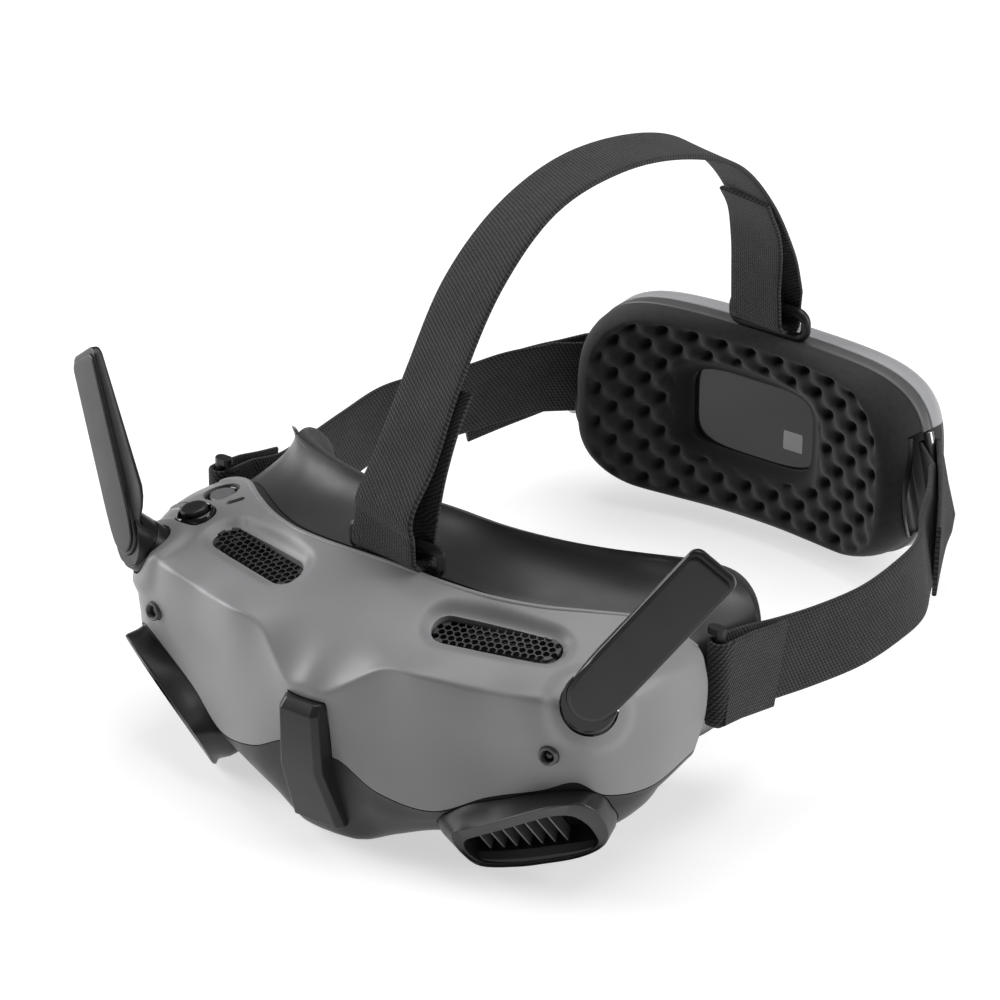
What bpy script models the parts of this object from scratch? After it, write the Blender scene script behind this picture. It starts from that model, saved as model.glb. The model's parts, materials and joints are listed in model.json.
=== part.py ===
"""FPV goggles with swivelling antennas, head straps and a rear battery box.

Metres, +Z up. The wearer looks along -Y. The face of the goggles is at the -Y end and the
battery box at the +Y end; X = 0 is the plane of symmetry. Sizes below are in millimetres.
"""

import math

import bmesh
import bpy
import numpy as np
from mathutils import Matrix, Vector

# ---------------------------------------------------------------- driving sizes, millimetres
Y_CENTRE = 75.3          # middle of the whole length, moved to Y = 0 at the end
WALL = 2.0               # moulded shell wall
GAP = 0.35               # parting gap between mouldings
STRAP_W = 25.0           # webbing width
STRAP_T = 1.5            # webbing thickness
EYE_X, EYE_Z = 32.0, 42.0  # half the nominal eye distance and the height of the eyepieces
BARREL_R = 15.5
FRONT_BAR = (-9.0, 76.0)   # y, z of the bar that the top strap loops round, at the goggles
REAR_BAR = (171.0, 76.0)   # the same, at the battery box
ANCHOR_BAR = (84.2, 21.0)  # x, y of the upright bar at the goggles' side
BOX_BAR = (61.6, 171.6, 35.4)  # middle of the leaning bar at the side of the battery box
BOX_LEAN = Vector((-0.30, 0.10, 0.95)).normalized()
ANTENNA_BASE = Vector((76.9, -31.6, 60.8))
ANTENNA_DIR = Vector((0.521, 0.325, 0.788)).normalized()
ANTENNA_FACE = Vector((0.407, -0.898, 0.101))
BOSS = Vector((73.2, -24.4, 56.0))
BOSS_AXIS = Vector((0.45, -0.62, 0.64)).normalized()
DUCT = Vector((61.6, -33.0, 17.0))
DUCT_OUT = Vector((0.44, -0.868, -0.225)).normalized()
DUCT_LONG = Vector((0.893, 0.385, 0.27))
GRILLE = Vector((39.9, -19.2, 63.5))
GRILLE_YAW = math.radians(16.8)
SENSOR = Vector((66.1, -32.9, 42.4))
SENSOR_AXIS = Vector((0.2, -0.975, 0.1)).normalized()
KNOB = Vector((-68.4, -10.0, 61.6))
KNOB_AXIS = Vector((-0.20, -0.12, 0.972)).normalized()
RECORD = Vector((-69.5, 3.5, 61.4))
FAN = Vector((0.0, -37.5, 41.0))


# ---------------------------------------------------------------- scene and materials
for stale in list(bpy.data.objects):
    bpy.data.objects.remove(stale, do_unlink=True)
goggles = bpy.data.collections.new("fpv_goggles")
cutters = bpy.data.collections.new("cutters")
bpy.context.scene.collection.children.link(goggles)
bpy.context.scene.collection.children.link(cutters)


def material(name, colour, rough, metal=0.0, alpha=1.0):
    made = bpy.data.materials.new(name)
    made.use_nodes = True
    shader = made.node_tree.nodes["Principled BSDF"]
    shader.inputs["Base Color"].default_value = (*colour, 1.0)
    shader.inputs["Roughness"].default_value = rough
    shader.inputs["Metallic"].default_value = metal
    shader.inputs["Alpha"].default_value = alpha
    made.diffuse_color = (*colour, alpha)
    return made


SHELL_GREY = material("shell_grey", (0.27, 0.27, 0.275), 0.42)
TRIM_DARK = material("trim_dark", (0.035, 0.035, 0.038), 0.40)
FACE_DARK = material("face_dark", (0.05, 0.05, 0.053), 0.5)
FOAM = material("foam", (0.02, 0.02, 0.021), 0.95)
WEBBING = material("webbing", (0.022, 0.022, 0.024), 0.9)
GLOSS_BLACK = material("gloss_black", (0.012, 0.012, 0.013), 0.15)
BUTTON_GREY = material("button_grey", (0.16, 0.16, 0.165), 0.35)
MESH_BLACK = material("mesh_black", (0.02, 0.02, 0.02), 0.5)
LENS_GLASS = material("lens_glass", (0.75, 0.8, 0.85), 0.03, alpha=0.4)
BOARD_GREEN = material("board_green", (0.02, 0.12, 0.05), 0.5)
ALUMINIUM = material("aluminium", (0.6, 0.6, 0.62), 0.35, metal=1.0)
REAR_GREY = material("rear_grey", (0.42, 0.42, 0.43), 0.4)
CELL = material("cell_wrap", (0.05, 0.09, 0.3), 0.4)
STEEL = material("steel", (0.45, 0.45, 0.46), 0.3, metal=1.0)


# ---------------------------------------------------------------- helpers
def signed_volume(mesh):
    mesh.calc_loop_triangles()
    v = np.array([p.co for p in mesh.vertices])
    t = np.array([tri.vertices for tri in mesh.loop_triangles])
    return np.linalg.det(v[t]).sum() / 6


def add(name, points, faces, mat, smooth=40.0, pivot=(0, 0, 0), group=None):
    """One object from points in millimetres; faces are turned outward."""
    pivot = Vector(pivot)
    mesh = bpy.data.meshes.new(name)
    mesh.from_pydata([((Vector(p) - pivot) * 0.001)[:] for p in points], [], faces)
    if signed_volume(mesh) < 0:
        mesh.flip_normals()
    mesh.validate()
    obj = bpy.data.objects.new(name, mesh)
    obj.location = pivot * 0.001
    mesh.materials.append(mat)
    for polygon in mesh.polygons:
        polygon.use_smooth = True
    mesh.set_sharp_from_angle(angle=math.radians(smooth))
    (group or goggles).objects.link(obj)
    if group is cutters:
        obj.hide_render = True
        obj.display_type = "WIRE"
    return obj


def loft(name, loops, mat, ring=False, **rest):
    """Skin over closed loops of equal length. A ring joins the last loop to the first; otherwise
    both ends are capped."""
    n = len(loops[0])
    points = [p for loop in loops for p in loop]
    faces = []
    for i in range(len(loops) if ring else len(loops) - 1):
        a, b = i * n, ((i + 1) % len(loops)) * n
        for j in range(n):
            k = (j + 1) % n
            faces.append((a + j, a + k, b + k, b + j))
    if not ring:
        faces.append(tuple(range(n))[::-1])
        faces.append(tuple(range((len(loops) - 1) * n, len(loops) * n)))
    return add(name, points, faces, mat, **rest)


def frame_at(origin, along, out):
    """Function from (a, b, c) to a point: a along, c outward, b across."""
    c = Vector(out).normalized()
    a = (Vector(along) - c * Vector(along).dot(c)).normalized()
    b = c.cross(a)
    origin = Vector(origin)
    return lambda u, v, w: origin + a * u + b * v + c * w


def rounded(w, h, r, n=5):
    """Rounded rectangle, w by h, as (u, v) pairs."""
    r = min(r, w / 2 - 1e-3, h / 2 - 1e-3)
    corners = ((w / 2 - r, h / 2 - r, 0), (r - w / 2, h / 2 - r, 90), (r - w / 2, r - h / 2, 180),
               (w / 2 - r, r - h / 2, 270))
    return [(x + r * math.cos(math.radians(start + 90 * i / n)),
             y + r * math.sin(math.radians(start + 90 * i / n)))
            for x, y, start in corners for i in range(n + 1)]


def circle(r, n=24):
    return [(r * math.cos(2 * math.pi * i / n), r * math.sin(2 * math.pi * i / n)) for i in range(n)]


def prism(name, place, levels, mat, **rest):
    """Solid from (outline, height) levels in the frame that place gives."""
    loops = [[place(u, v, h) for u, v in outline] for outline, h in levels]
    return loft(name, loops, mat, **rest)


def turned(name, place, profile, mat, n=24, hollow=False, pivot=(0, 0, 0), **rest):
    """Solid of revolution about the outward axis of place, from (radius, height) pairs, by Screw.
    A hollow one turns a closed profile; otherwise the profile starts and ends on the axis."""
    if not hollow:
        profile = [(0, profile[0][1]), *profile, (0, profile[-1][1])]
    mesh = bpy.data.meshes.new(name + "_profile")
    ends = [(i, i + 1) for i in range(len(profile) - 1)] + ([(len(profile) - 1, 0)] if hollow else [])
    mesh.from_pydata([(r * 0.001, 0, h * 0.001) for r, h in profile], ends, [])
    obj = bpy.data.objects.new(name + "_profile", mesh)
    bpy.context.scene.collection.objects.link(obj)
    screw = obj.modifiers.new("turn", "SCREW")
    screw.axis, screw.steps, screw.render_steps = "Z", n, n
    screw.use_merge_vertices, screw.merge_threshold = True, 1e-6
    bake(obj)
    origin = place(0, 0, 0)
    axes = [place(*unit) - origin for unit in ((1, 0, 0), (0, 1, 0), (0, 0, 1))]
    points = [origin + sum((axis * c for axis, c in zip(axes, v.co * 1000)), Vector())
              for v in obj.data.vertices]
    faces = [tuple(face.vertices) for face in obj.data.polygons]
    bpy.data.objects.remove(obj, do_unlink=True)
    return add(name, points, faces, mat, pivot=pivot, **rest)


def tube(name, place, r_out, r_in, low, high, mat, **rest):
    profile = [(r_out, low), (r_out, high), (r_in, high), (r_in, low)]
    return turned(name, place, profile, mat, hollow=True, **rest)


def bake(obj):
    """Replace the object's mesh with what its modifiers make."""
    graph = bpy.context.evaluated_depsgraph_get()
    made = bpy.data.meshes.new_from_object(obj.evaluated_get(graph))
    obj.modifiers.clear()
    old, name = obj.data, obj.data.name
    obj.data = made
    bpy.data.meshes.remove(old)
    made.name = name
    tidy = bmesh.new()
    tidy.from_mesh(made)
    bmesh.ops.remove_doubles(tidy, verts=tidy.verts, dist=2e-6)
    bmesh.ops.dissolve_degenerate(tidy, edges=tidy.edges, dist=2e-6)
    tidy.to_mesh(made)
    tidy.free()


def boolean(obj, other, operation, keep=False):
    step = obj.modifiers.new(operation.lower(), "BOOLEAN")
    step.operation, step.solver, step.object = operation, "EXACT", other
    bake(obj)
    if not keep:
        bpy.data.objects.remove(other, do_unlink=True)
    return obj


def cut(obj, *others, keep=False):
    for other in others:
        boolean(obj, other, "DIFFERENCE", keep)
    return obj


def fuse(obj, *others):
    for other in others:
        boolean(obj, other, "UNION")
    return obj


def spline(points, per):
    """Catmull-Rom through the points along axis 0, with per steps to each span."""
    p = np.asarray(points, float)
    slope = np.empty_like(p)
    slope[1:-1] = (p[2:] - p[:-2]) / 2
    slope[0], slope[-1] = p[1] - p[0], p[-1] - p[-2]
    out = []
    for i in range(len(p) - 1):
        for t in np.arange(per) / per:
            h = (2 * t**3 - 3 * t**2 + 1, t**3 - 2 * t**2 + t, 3 * t**2 - 2 * t**3, t**3 - t**2)
            out.append(h[0] * p[i] + h[1] * slope[i] + h[2] * p[i + 1] + h[3] * slope[i + 1])
    out.append(p[-1])
    return np.array(out)


def resample(points, n):
    p = np.asarray(points, float)
    s = np.r_[0, np.cumsum(np.linalg.norm(np.diff(p, axis=0), axis=1))]
    t = np.linspace(0, s[-1], n)
    return np.stack([np.interp(t, s, p[:, i]) for i in range(p.shape[1])], 1)


def both_sides(half):
    """Columns from X = 0 outward, made into columns from one side to the other."""
    other = half[:0:-1] * np.array([-1.0, 1.0, 1.0])
    return np.concatenate([other, half])


def sheet_normals(grid):
    du, dv = np.gradient(grid, axis=0), np.gradient(grid, axis=1)
    n = np.cross(dv, du)
    return n / np.linalg.norm(n, axis=2, keepdims=True)


def sheet_solid(name, grid, wall, mat, normals=None, **rest):
    """Closed solid whose outer face is the grid, and whose inner face is wall behind it."""
    nu, nv = grid.shape[:2]
    inner = grid - (sheet_normals(grid) if normals is None else normals) * wall
    points = [Vector(p) for p in np.concatenate([grid.reshape(-1, 3), inner.reshape(-1, 3)])]
    m = nu * nv
    at = lambda i, j: i * nv + j
    faces = []
    for i in range(nu - 1):
        for j in range(nv - 1):
            a, b, c, d = at(i, j), at(i + 1, j), at(i + 1, j + 1), at(i, j + 1)
            faces += [(a, b, c, d), (d + m, c + m, b + m, a + m)]
    edge = ([at(i, 0) for i in range(nu - 1)] + [at(nu - 1, j) for j in range(nv - 1)]
            + [at(i, nv - 1) for i in range(nu - 1, 0, -1)] + [at(0, j) for j in range(nv - 1, 0, -1)])
    for a, b in zip(edge, edge[1:] + edge[:1]):
        faces.append((b, a, a + m, b + m))
    return add(name, points, faces, mat, **rest)


def closed_loop(half, n):
    """Loop of 2 n - 2 points from a half outline that starts and ends on X = 0."""
    half = resample(spline(half, 8), n)
    return np.concatenate([half, half[-2:0:-1] * np.array([-1.0, 1.0, 1.0])])


def ribbon(name, path, across, mat, width=STRAP_W, thick=STRAP_T, **rest):
    """Flat webbing along a path; across holds the width direction at each point."""
    path, across = np.asarray(path, float), np.asarray(across, float)
    tangent = np.gradient(path, axis=0)
    across = across - tangent * ((across * tangent).sum(1) / (tangent**2).sum(1))[:, None]
    across /= np.linalg.norm(across, axis=1, keepdims=True)
    normal = np.cross(across, tangent)
    normal /= np.linalg.norm(normal, axis=1, keepdims=True)
    w, t = width / 2, thick / 2
    corners = ((w, t), (-w, t), (-w, -t), (w, -t))
    loops = [[Vector(p + a * u + m * v) for u, v in corners] for p, a, m in zip(path, across, normal)]
    return loft(name, loops, mat, **rest)


def wrap(centre, radius, start, stop, steps=7):
    """Points on an arc, degrees, in the plane of the two coordinates given."""
    return [(centre[0] + radius * math.cos(math.radians(start + (stop - start) * i / steps)),
             centre[1] + radius * math.sin(math.radians(start + (stop - start) * i / steps)))
            for i in range(steps + 1)]


# ---------------------------------------------------------------- front shell
# Columns run from the middle to the rear edge of the side; rows from the rear rim, over the
# deck and the brow crease, down the concave face to the lower edge.
SHELL = np.array([
    [(0, -13, 70.4), (0, -24, 66.9), (0, -38, 60), (0, -50.2, 50.2), (0, -50.6, 45), (0, -50, 37),
     (0, -48.6, 28)],
    [(7, -13, 70.3), (7, -24, 66.7), (7.5, -38, 60), (7.2, -49.8, 50), (7.6, -49.2, 45),
     (8, -48.4, 37), (9, -47.8, 28.6)],
    [(20, -13, 70), (20, -24, 65.6), (20, -36, 61.5), (20.5, -43.8, 58.4), (20, -45, 51),
     (20.5, -45.6, 38), (22, -46.6, 23.4)],
    [(33, -11.4, 69.5), (33.5, -20, 64.6), (33, -33, 61.6), (32, -42.4, 59.6), (32, -42.6, 52),
     (33.5, -41.8, 38), (35.5, -42, 20.6)],
    [(45, -6, 68.2), (46, -15, 64), (46, -28, 61), (46, -37, 57.8), (47, -37, 50), (48, -35.6, 38),
     (49.3, -36.3, 25.8)],
    [(56, 1.5, 67), (58.5, -7, 64), (60, -21, 61.4), (61, -33.5, 58.8), (61.5, -33.8, 50),
     (63, -32.4, 41), (62.5, -31, 30)],
    [(65, 9.4, 65), (68.5, -2, 62.9), (71.5, -14, 60.4), (73.5, -25.6, 56.8), (74.2, -28, 50),
     (74, -28.6, 42), (72, -28.6, 34.6)],
    [(71, 13, 62.8), (74.5, 3, 61.8), (77.5, -6, 60.3), (79.6, -14, 56.8), (80.2, -17, 50),
     (80, -19.5, 41), (78, -22.5, 30)],
    [(76.5, 15, 60.2), (79, 8, 59.6), (81, 3, 58.6), (82.4, -1, 56.4), (83.5, -3, 50), (83.8, -5, 40),
     (82.5, -8, 27.4)],
    [(80.6, 16, 57.6), (81.4, 15.9, 56.8), (82.2, 15.8, 55.6), (83, 15.6, 53.4), (84.2, 15.4, 47.5),
     (84.4, 14, 38.5), (83.4, 11, 29.5)],
], float)


def surface(control, per_row):
    """Half grid through the control points, three steps to a column, made whole by symmetry."""
    half = spline(np.swapaxes(spline(np.swapaxes(control, 0, 1), per_row), 0, 1), 3)
    return both_sides(half)


shell_grid = surface(SHELL, 2)

# ---------------------------------------------------------------- lower trim
# Chin below the shell: down the front, under, and back to the face shell. Its columns are the
# shell's, and its first row follows the shell's lower edge at a gap.
TRIM = np.array([
    [(0, -46.6, 15), (0, -41, 0), (0, -29, 0), (0, -19, 13)],
    [(9, -45, 15), (9, -40, 0), (9, -28.6, 0), (9, -18.4, 12.6)],
    [(21, -42.4, 12), (20, -36, 1.8), (20, -28, 2.0), (20, -17, 11)],
    [(35, -38, 13), (34, -33, 6.4), (34, -24, 6), (35, -14, 10)],
    [(49, -33, 16), (49, -27, 8), (50, -18, 8), (52, -8, 11.4)],
    [(63, -28, 20), (63, -22, 11), (64, -12, 11), (66, 0, 16)],
    [(73.6, -25, 25), (74, -18, 16), (73.6, -8, 16), (73, 4, 22)],
    [(79, -18, 24), (79.2, -11, 20), (78.6, -3, 20), (76.6, 7.4, 25)],
    [(82.2, -5, 25.4), (81.4, -2, 24.4), (80.2, 2, 24.6), (78.2, 8.4, 27)],
    [(82.6, 10.6, 27.6), (81.4, 10.4, 26.6), (80.2, 10.4, 26.6), (78.8, 10.6, 27.6)],
], float)
down = SHELL[:, 6] - SHELL[:, 5]
trim_top = SHELL[:, 6] + down / np.linalg.norm(down, axis=1, keepdims=True) * GAP
trim_grid = surface(np.concatenate([trim_top[:, None], TRIM], 1), 2)
trim_grid[:, :, 2] = np.maximum(trim_grid[:, :, 2], 0.0)
# Both edges at the gap are turned in along one direction, so that the gap stays even.
shell_normals, trim_normals = sheet_normals(shell_grid), sheet_normals(trim_grid)
shared = shell_normals[:, -1] + trim_normals[:, 0]
shared /= np.linalg.norm(shared, axis=1, keepdims=True)
shell_normals[:, -1] = trim_normals[:, 0] = shared
front_shell = sheet_solid("front_shell", shell_grid, WALL, SHELL_GREY, shell_normals)
lower_trim = sheet_solid("lower_trim", trim_grid, WALL, TRIM_DARK, trim_normals)

# The nose bar: a bevelled post over the middle of the face, moulded with the chin.


def nose_bar(name, grow, **rest):
    levels = []
    for y, z, half, back in ((-44.6, 4.2, 7.2, -41.6), (-52.0, 25.6, 6.9, -46.4), (-52.4, 29.6, 6.7, -48.9),
                             (-52.7, 43.0, 6.0, -49.4), (-51.2, 47.6 + grow, 5.4, -49.4)):
        side, deep = half + grow, back + grow
        levels.append([Vector(p) for p in (
            (side, y + 1.6, z), (half - 1.4, y - grow, z), (1.4 - half, y - grow, z), (-side, y + 1.6, z),
            (-side, deep, z), (side, deep, z))])
    return loft(name, levels, TRIM_DARK, smooth=20, **rest)


cut(front_shell, nose_bar("nose_bar_hull", GAP, group=cutters))
fuse(lower_trim, nose_bar("nose_bar", 0.0))

# ---------------------------------------------------------------- intake ducts
duct_at = frame_at(DUCT, DUCT_LONG, DUCT_OUT)
# Outline sizes from the lip backwards: width, height, corner, shift up, depth.
DUCT_STEPS = ((41.0, 18.4, 6.5, 0.0, 0.0), (43.4, 20.4, 8.0, 0.0, -1.6), (43.0, 21.0, 8.5, 0.4, -6.0),
              (41.5, 20.5, 8.5, 0.8, -12.0), (39.0, 17.5, 8.0, 1.0, -17.0))


def duct_loop(w, h, r, up, deep, grow=0.0):
    # The across direction of the frame points down, so up is negative.
    return [duct_at(u, v - up, deep) for u, v in rounded(w + 2 * grow, h + 2 * grow, r + grow, 4)]


def mirrored(obj, name):
    """The same solid on the other side, as an object of its own."""
    mesh = obj.data.copy()
    mesh.transform(Matrix.Diagonal((-1, 1, 1, 1)))
    mesh.flip_normals()
    twin = bpy.data.objects.new(name, mesh)
    twin.location = Vector((-obj.location.x, obj.location.y, obj.location.z))
    mesh.name = name
    (obj.users_collection[0]).objects.link(twin)
    twin.hide_render = obj.hide_render
    return twin


def mirror_pair(obj, stem):
    """Viewer's right is the wearer's left."""
    obj.name = obj.data.name = stem + "_left"
    return obj, mirrored(obj, stem + "_right")


outer = [duct_loop(*step) for step in DUCT_STEPS]
inner = [duct_loop(w - 2 * t, h - 2 * t, max(r - t, 2), up, deep)
         for (w, h, r, up, deep), t in zip(DUCT_STEPS[::-1], (2.0, 2.2, 2.8, 3.6, 3.4))]
duct = loft("intake_duct", outer + inner, TRIM_DARK, ring=True)
duct_left, duct_right = mirror_pair(duct, "intake_duct")
hull = loft("duct_hull", [duct_loop(*step, grow=GAP) for step in DUCT_STEPS]
            + [duct_loop(38, 16, 8, 1, -22, grow=GAP)], TRIM_DARK, group=cutters)
hull_right = mirrored(hull, "duct_hull_right")
for moulding in (front_shell, lower_trim):
    cut(moulding, hull, hull_right, keep=True)

# Slanted fins across each mouth, on two rails.
fin_parts = []
for v in (-5.2, 5.2):
    fin_parts.append(prism("rail", frame_at(duct_at(0, v, -8), DUCT_LONG, DUCT_OUT),
                           [(rounded(32, 1.0, 0.3, 1), -1.2), (rounded(32, 1.0, 0.3, 1), 1.2)], TRIM_DARK))
fins = fin_parts[0]
fins.name = "intake_fins"
slats = []
for i in range(8):
    at = frame_at(duct_at(-14 + 4 * i, 0, -6.6), DUCT_LONG, DUCT_OUT)
    slats.append(prism("fin", at, [(rounded(0.9, 11.6, 0.2, 1), -2.2), (rounded(0.9, 11.6, 0.2, 1), 2.2)],
                       TRIM_DARK))
fuse(fins, fin_parts[1], *slats)
fins.data.name = "intake_fins"
mirror_pair(fins, "intake_fins")

# ---------------------------------------------------------------- top grilles
grille_out = Vector((0.06, -0.21, 0.97)).normalized()
grille_at = frame_at(GRILLE, (math.cos(GRILLE_YAW), math.sin(GRILLE_YAW), 0), grille_out)
slot = prism("grille_slot", grille_at, [(rounded(36, 9.8, 4.5), -8), (rounded(36, 9.8, 4.5), 6)], TRIM_DARK,
             group=cutters)
cut(front_shell, slot, mirrored(slot, "grille_slot_right"))
grille = prism("top_grille", grille_at, [(rounded(35.3, 9.1, 4.2), -2.6), (rounded(35.3, 9.1, 4.2), -1.2)],
               MESH_BLACK, smooth=30)
for row in range(3):
    for col in range(10 + row % 2):
        u, v = (col - (9 + row % 2) / 2) * 3.1, (row - 1) * 2.75
        hexagon = [(u + 1.15 * math.sin(math.radians(60 * k)), v + 1.15 * math.cos(math.radians(60 * k)))
                   for k in range(6)]
        cut(grille, prism("hex", grille_at, [(hexagon, -4), (hexagon, 1)], MESH_BLACK, group=cutters))
mirror_pair(grille, "top_grille")

# ---------------------------------------------------------------- front cameras
sensor_at = frame_at(SENSOR, (1, 0, 0), SENSOR_AXIS)
hole = turned("sensor_hole", sensor_at, [(3.0, -6), (3.0, 4)], TRIM_DARK, group=cutters)
cut(front_shell, hole, mirrored(hole, "sensor_hole_right"))
mirror_pair(tube("sensor_bezel", sensor_at, 2.65, 1.75, -4.0, 0.5, GLOSS_BLACK, n=20), "sensor_bezel")
mirror_pair(turned("sensor_lens", sensor_at, [(1.4, -3.6), (1.4, -0.9),
                                             (0.8, -0.4)], GLOSS_BLACK, n=16), "sensor_lens")

# ---------------------------------------------------------------- antennas
# The collar turns in the shell's corner boss, and carries the arm and its cover plate.
boss_at = frame_at(BOSS, ANTENNA_DIR, BOSS_AXIS)
boss_hole = turned("boss_hole", boss_at, [(7.9, -7), (7.9, 9)], TRIM_DARK, n=28,
                  group=cutters)
cut(front_shell, boss_hole, mirrored(boss_hole, "boss_hole_right"))
arm_at = frame_at(ANTENNA_BASE, ANTENNA_DIR, ANTENNA_FACE)
collar = turned("antenna_collar", boss_at, [(5.2, -5.4), (7.4, -4.6), (7.4, 12)],
               TRIM_DARK, pivot=BOSS)
behind_arm = [(-30, -3.9), (3.9, -3.9), (8.2, -6.6), (14, -7.2), (30, -7.2), (30, 20), (-30, 20)]
cut(collar, loft("behind_arm", [[arm_at(u, v, w) for u, w in behind_arm] for v in (-20, 20)], TRIM_DARK,
                 group=cutters))
mirror_pair(collar, "antenna_collar")

ARM_LENGTH, ARM_HALF = 53.5, 7.4


def arm_outline(inset):
    """Round at the base, square with rounded corners at the tip."""
    r, tip = ARM_HALF - inset, ARM_LENGTH - inset
    base = [(r * math.cos(math.radians(a)), r * math.sin(math.radians(a))) for a in range(90, 271, 15)]
    c = 2.6 - inset * 0.5
    return base + [(tip - c + c * math.cos(math.radians(a)), s * (r - c) + c * math.sin(math.radians(a)))
                   for s, first in ((-1, 270), (1, 0)) for a in range(first, first + 91, 30)]


body = prism("antenna_arm", arm_at, [(arm_outline(0.8), -1.1), (arm_outline(0.0), -1.7),
                                     (arm_outline(0.0), -9)], TRIM_DARK, pivot=BOSS, smooth=35)
back = [(-12, -3.5), (4, -3.5), (8.5, -6.2), (14, -6.8), (22, -5.8), (36, -4.5), (60, -3.4), (60, -14),
        (-12, -14)]
side_cut = loft("arm_back", [[arm_at(u, v, w) for u, w in back] for v in (-12, 12)], TRIM_DARK,
                group=cutters)
cut(body, side_cut)
arm_left, arm_right = mirror_pair(body, "antenna_arm")
cover = prism("antenna_cover", arm_at, [(arm_outline(1.2), -0.75), (arm_outline(1.2), -0.3),
                                        (arm_outline(1.7), 0.0)], TRIM_DARK, pivot=BOSS, smooth=25)
cover_left, cover_right = mirror_pair(cover, "antenna_cover")

# ---------------------------------------------------------------- controls on the wearer's right
knob_at = frame_at(KNOB, (1, 0, 0), KNOB_AXIS)
record_at = frame_at(RECORD, (1, 0, 0), KNOB_AXIS)
back_at = frame_at((-77.6, -6.0, 59.2), (1, 0, 0), (-0.45, -0.15, 0.88))
cut(front_shell,
    turned("knob_hole", knob_at, [(5.9, -7), (5.9, 5)], TRIM_DARK, group=cutters),
    turned("record_hole", record_at, [(5.4, -7), (5.4, 5)], TRIM_DARK, group=cutters),
    prism("led_hole", frame_at((-61.2, -1.0, 63.6), (0.8, 0.6, 0), KNOB_AXIS),
          [(rounded(5.4, 1.9, 0.9, 3), -6), (rounded(5.4, 1.9, 0.9, 3), 5)], TRIM_DARK, group=cutters),
    prism("back_hole", back_at, [(rounded(7, 4.4, 2, 3), -6), (rounded(7, 4.4, 2, 3), 5)], TRIM_DARK,
          group=cutters))
# The joystick: a stem that tilts in a gimbal ring, and a cap that presses down on the stem.
tube("joystick_ring", knob_at, 5.5, 4.7, -4.0, 1.6, GLOSS_BLACK)
tube("joystick_gimbal", knob_at, 3.2, 2.0, -4.6, -3.2, STEEL, n=18)
turned("joystick_stem", knob_at, [(1.2, -5.4), (1.2, 0.7)], STEEL, n=12)
joystick_cap = turned("joystick_cap", knob_at, [(3.8, -0.6), (3.8, 3.0), (3.0, 3.6)],
                     BUTTON_GREY)
cut(joystick_cap, turned("cap_bore", knob_at, [(1.6, -2), (1.6, 1.6)], BUTTON_GREY, n=12,
                        group=cutters))
tube("record_ring", record_at, 5.0, 4.1, -3.6, 0.7, GLOSS_BLACK)
turned("record_button", record_at, [(3.7, -3.2), (3.7, 0.7), (3.0, 1.1)], BUTTON_GREY)
prism("back_button", back_at, [(rounded(6.4, 3.8, 1.7, 3), -3.4), (rounded(6.4, 3.8, 1.7, 3), 0.6),
                               (rounded(5.4, 2.8, 1.2, 3), 1.0)], BUTTON_GREY)
prism("status_light", frame_at((-61.2, -1.0, 63.6), (0.8, 0.6, 0), KNOB_AXIS),
      [(rounded(4.8, 1.3, 0.6, 3), -3.0), (rounded(4.8, 1.3, 0.6, 3), 0.2)], LENS_GLASS)

# ---------------------------------------------------------------- face shell and its foam
FACE_FRONT = [(0, -9, 67.4), (18, -9, 67.2), (33, -7.4, 66.4), (45, -2, 65), (56, 5.5, 63.6),
              (65, 12.6, 61.6), (72, 16.2, 59), (77.4, 18.4, 54), (79.6, 18.8, 46), (79.6, 17.5, 37),
              (77, 14, 28.6), (68, 6, 20.4), (54, -3, 14.6), (38, -9, 12.4), (20, -13, 14), (0, -15, 17)]
FACE_REAR = [(0, 12, 77), (18, 11.6, 77), (34, 14, 76.8), (48, 18.3, 76.5), (60, 24.5, 75.6),
             (68, 33, 72), (74, 42, 65.5), (77.6, 47, 57), (79, 49, 47), (78.6, 49, 37), (75.6, 47, 26),
             (68, 41, 15), (56, 33, 9), (42, 26, 8), (28, 20, 13), (17, 13.5, 24), (8, 9.6, 33), (0, 8.6, 36)]
N_FACE = 33
front_loop, rear_loop = closed_loop(FACE_FRONT, N_FACE), closed_loop(FACE_REAR, N_FACE)


def flare(t, inset):
    """Loop at fraction t from the shell to the face: first back, then out, which makes the hollow."""
    back, out = 1 - (1 - t) ** 1.7, t ** 1.7
    loop = front_loop + (rear_loop - front_loop) * np.array([out, back, out])
    if inset:
        along = np.roll(loop, -1, 0) - np.roll(loop, 1, 0)
        push = np.stack([-along[:, 2], np.zeros(len(loop)), along[:, 0]], 1)
        loop = loop - push / np.linalg.norm(push, axis=1, keepdims=True) * inset
    return [Vector(p) for p in loop]


steps = (0.0, 0.2, 0.42, 0.65, 0.85, 1.0)
loft("face_shell", [flare(t, 0) for t in steps] + [flare(t, 1.9) for t in steps[::-1]], FACE_DARK, ring=True)
foam_loops = []
for inset, ahead in ((2.9, 0.4), (2.5, 4.5), (4.5, 6.8), (8.5, 6.8), (11.0, 3.5), (11.0, 0.4)):
    loop = flare(1.0, inset)
    foam_loops.append([p + Vector((0, ahead, 0)) for p in loop])
loft("face_foam", foam_loops, FOAM, ring=True)

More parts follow.
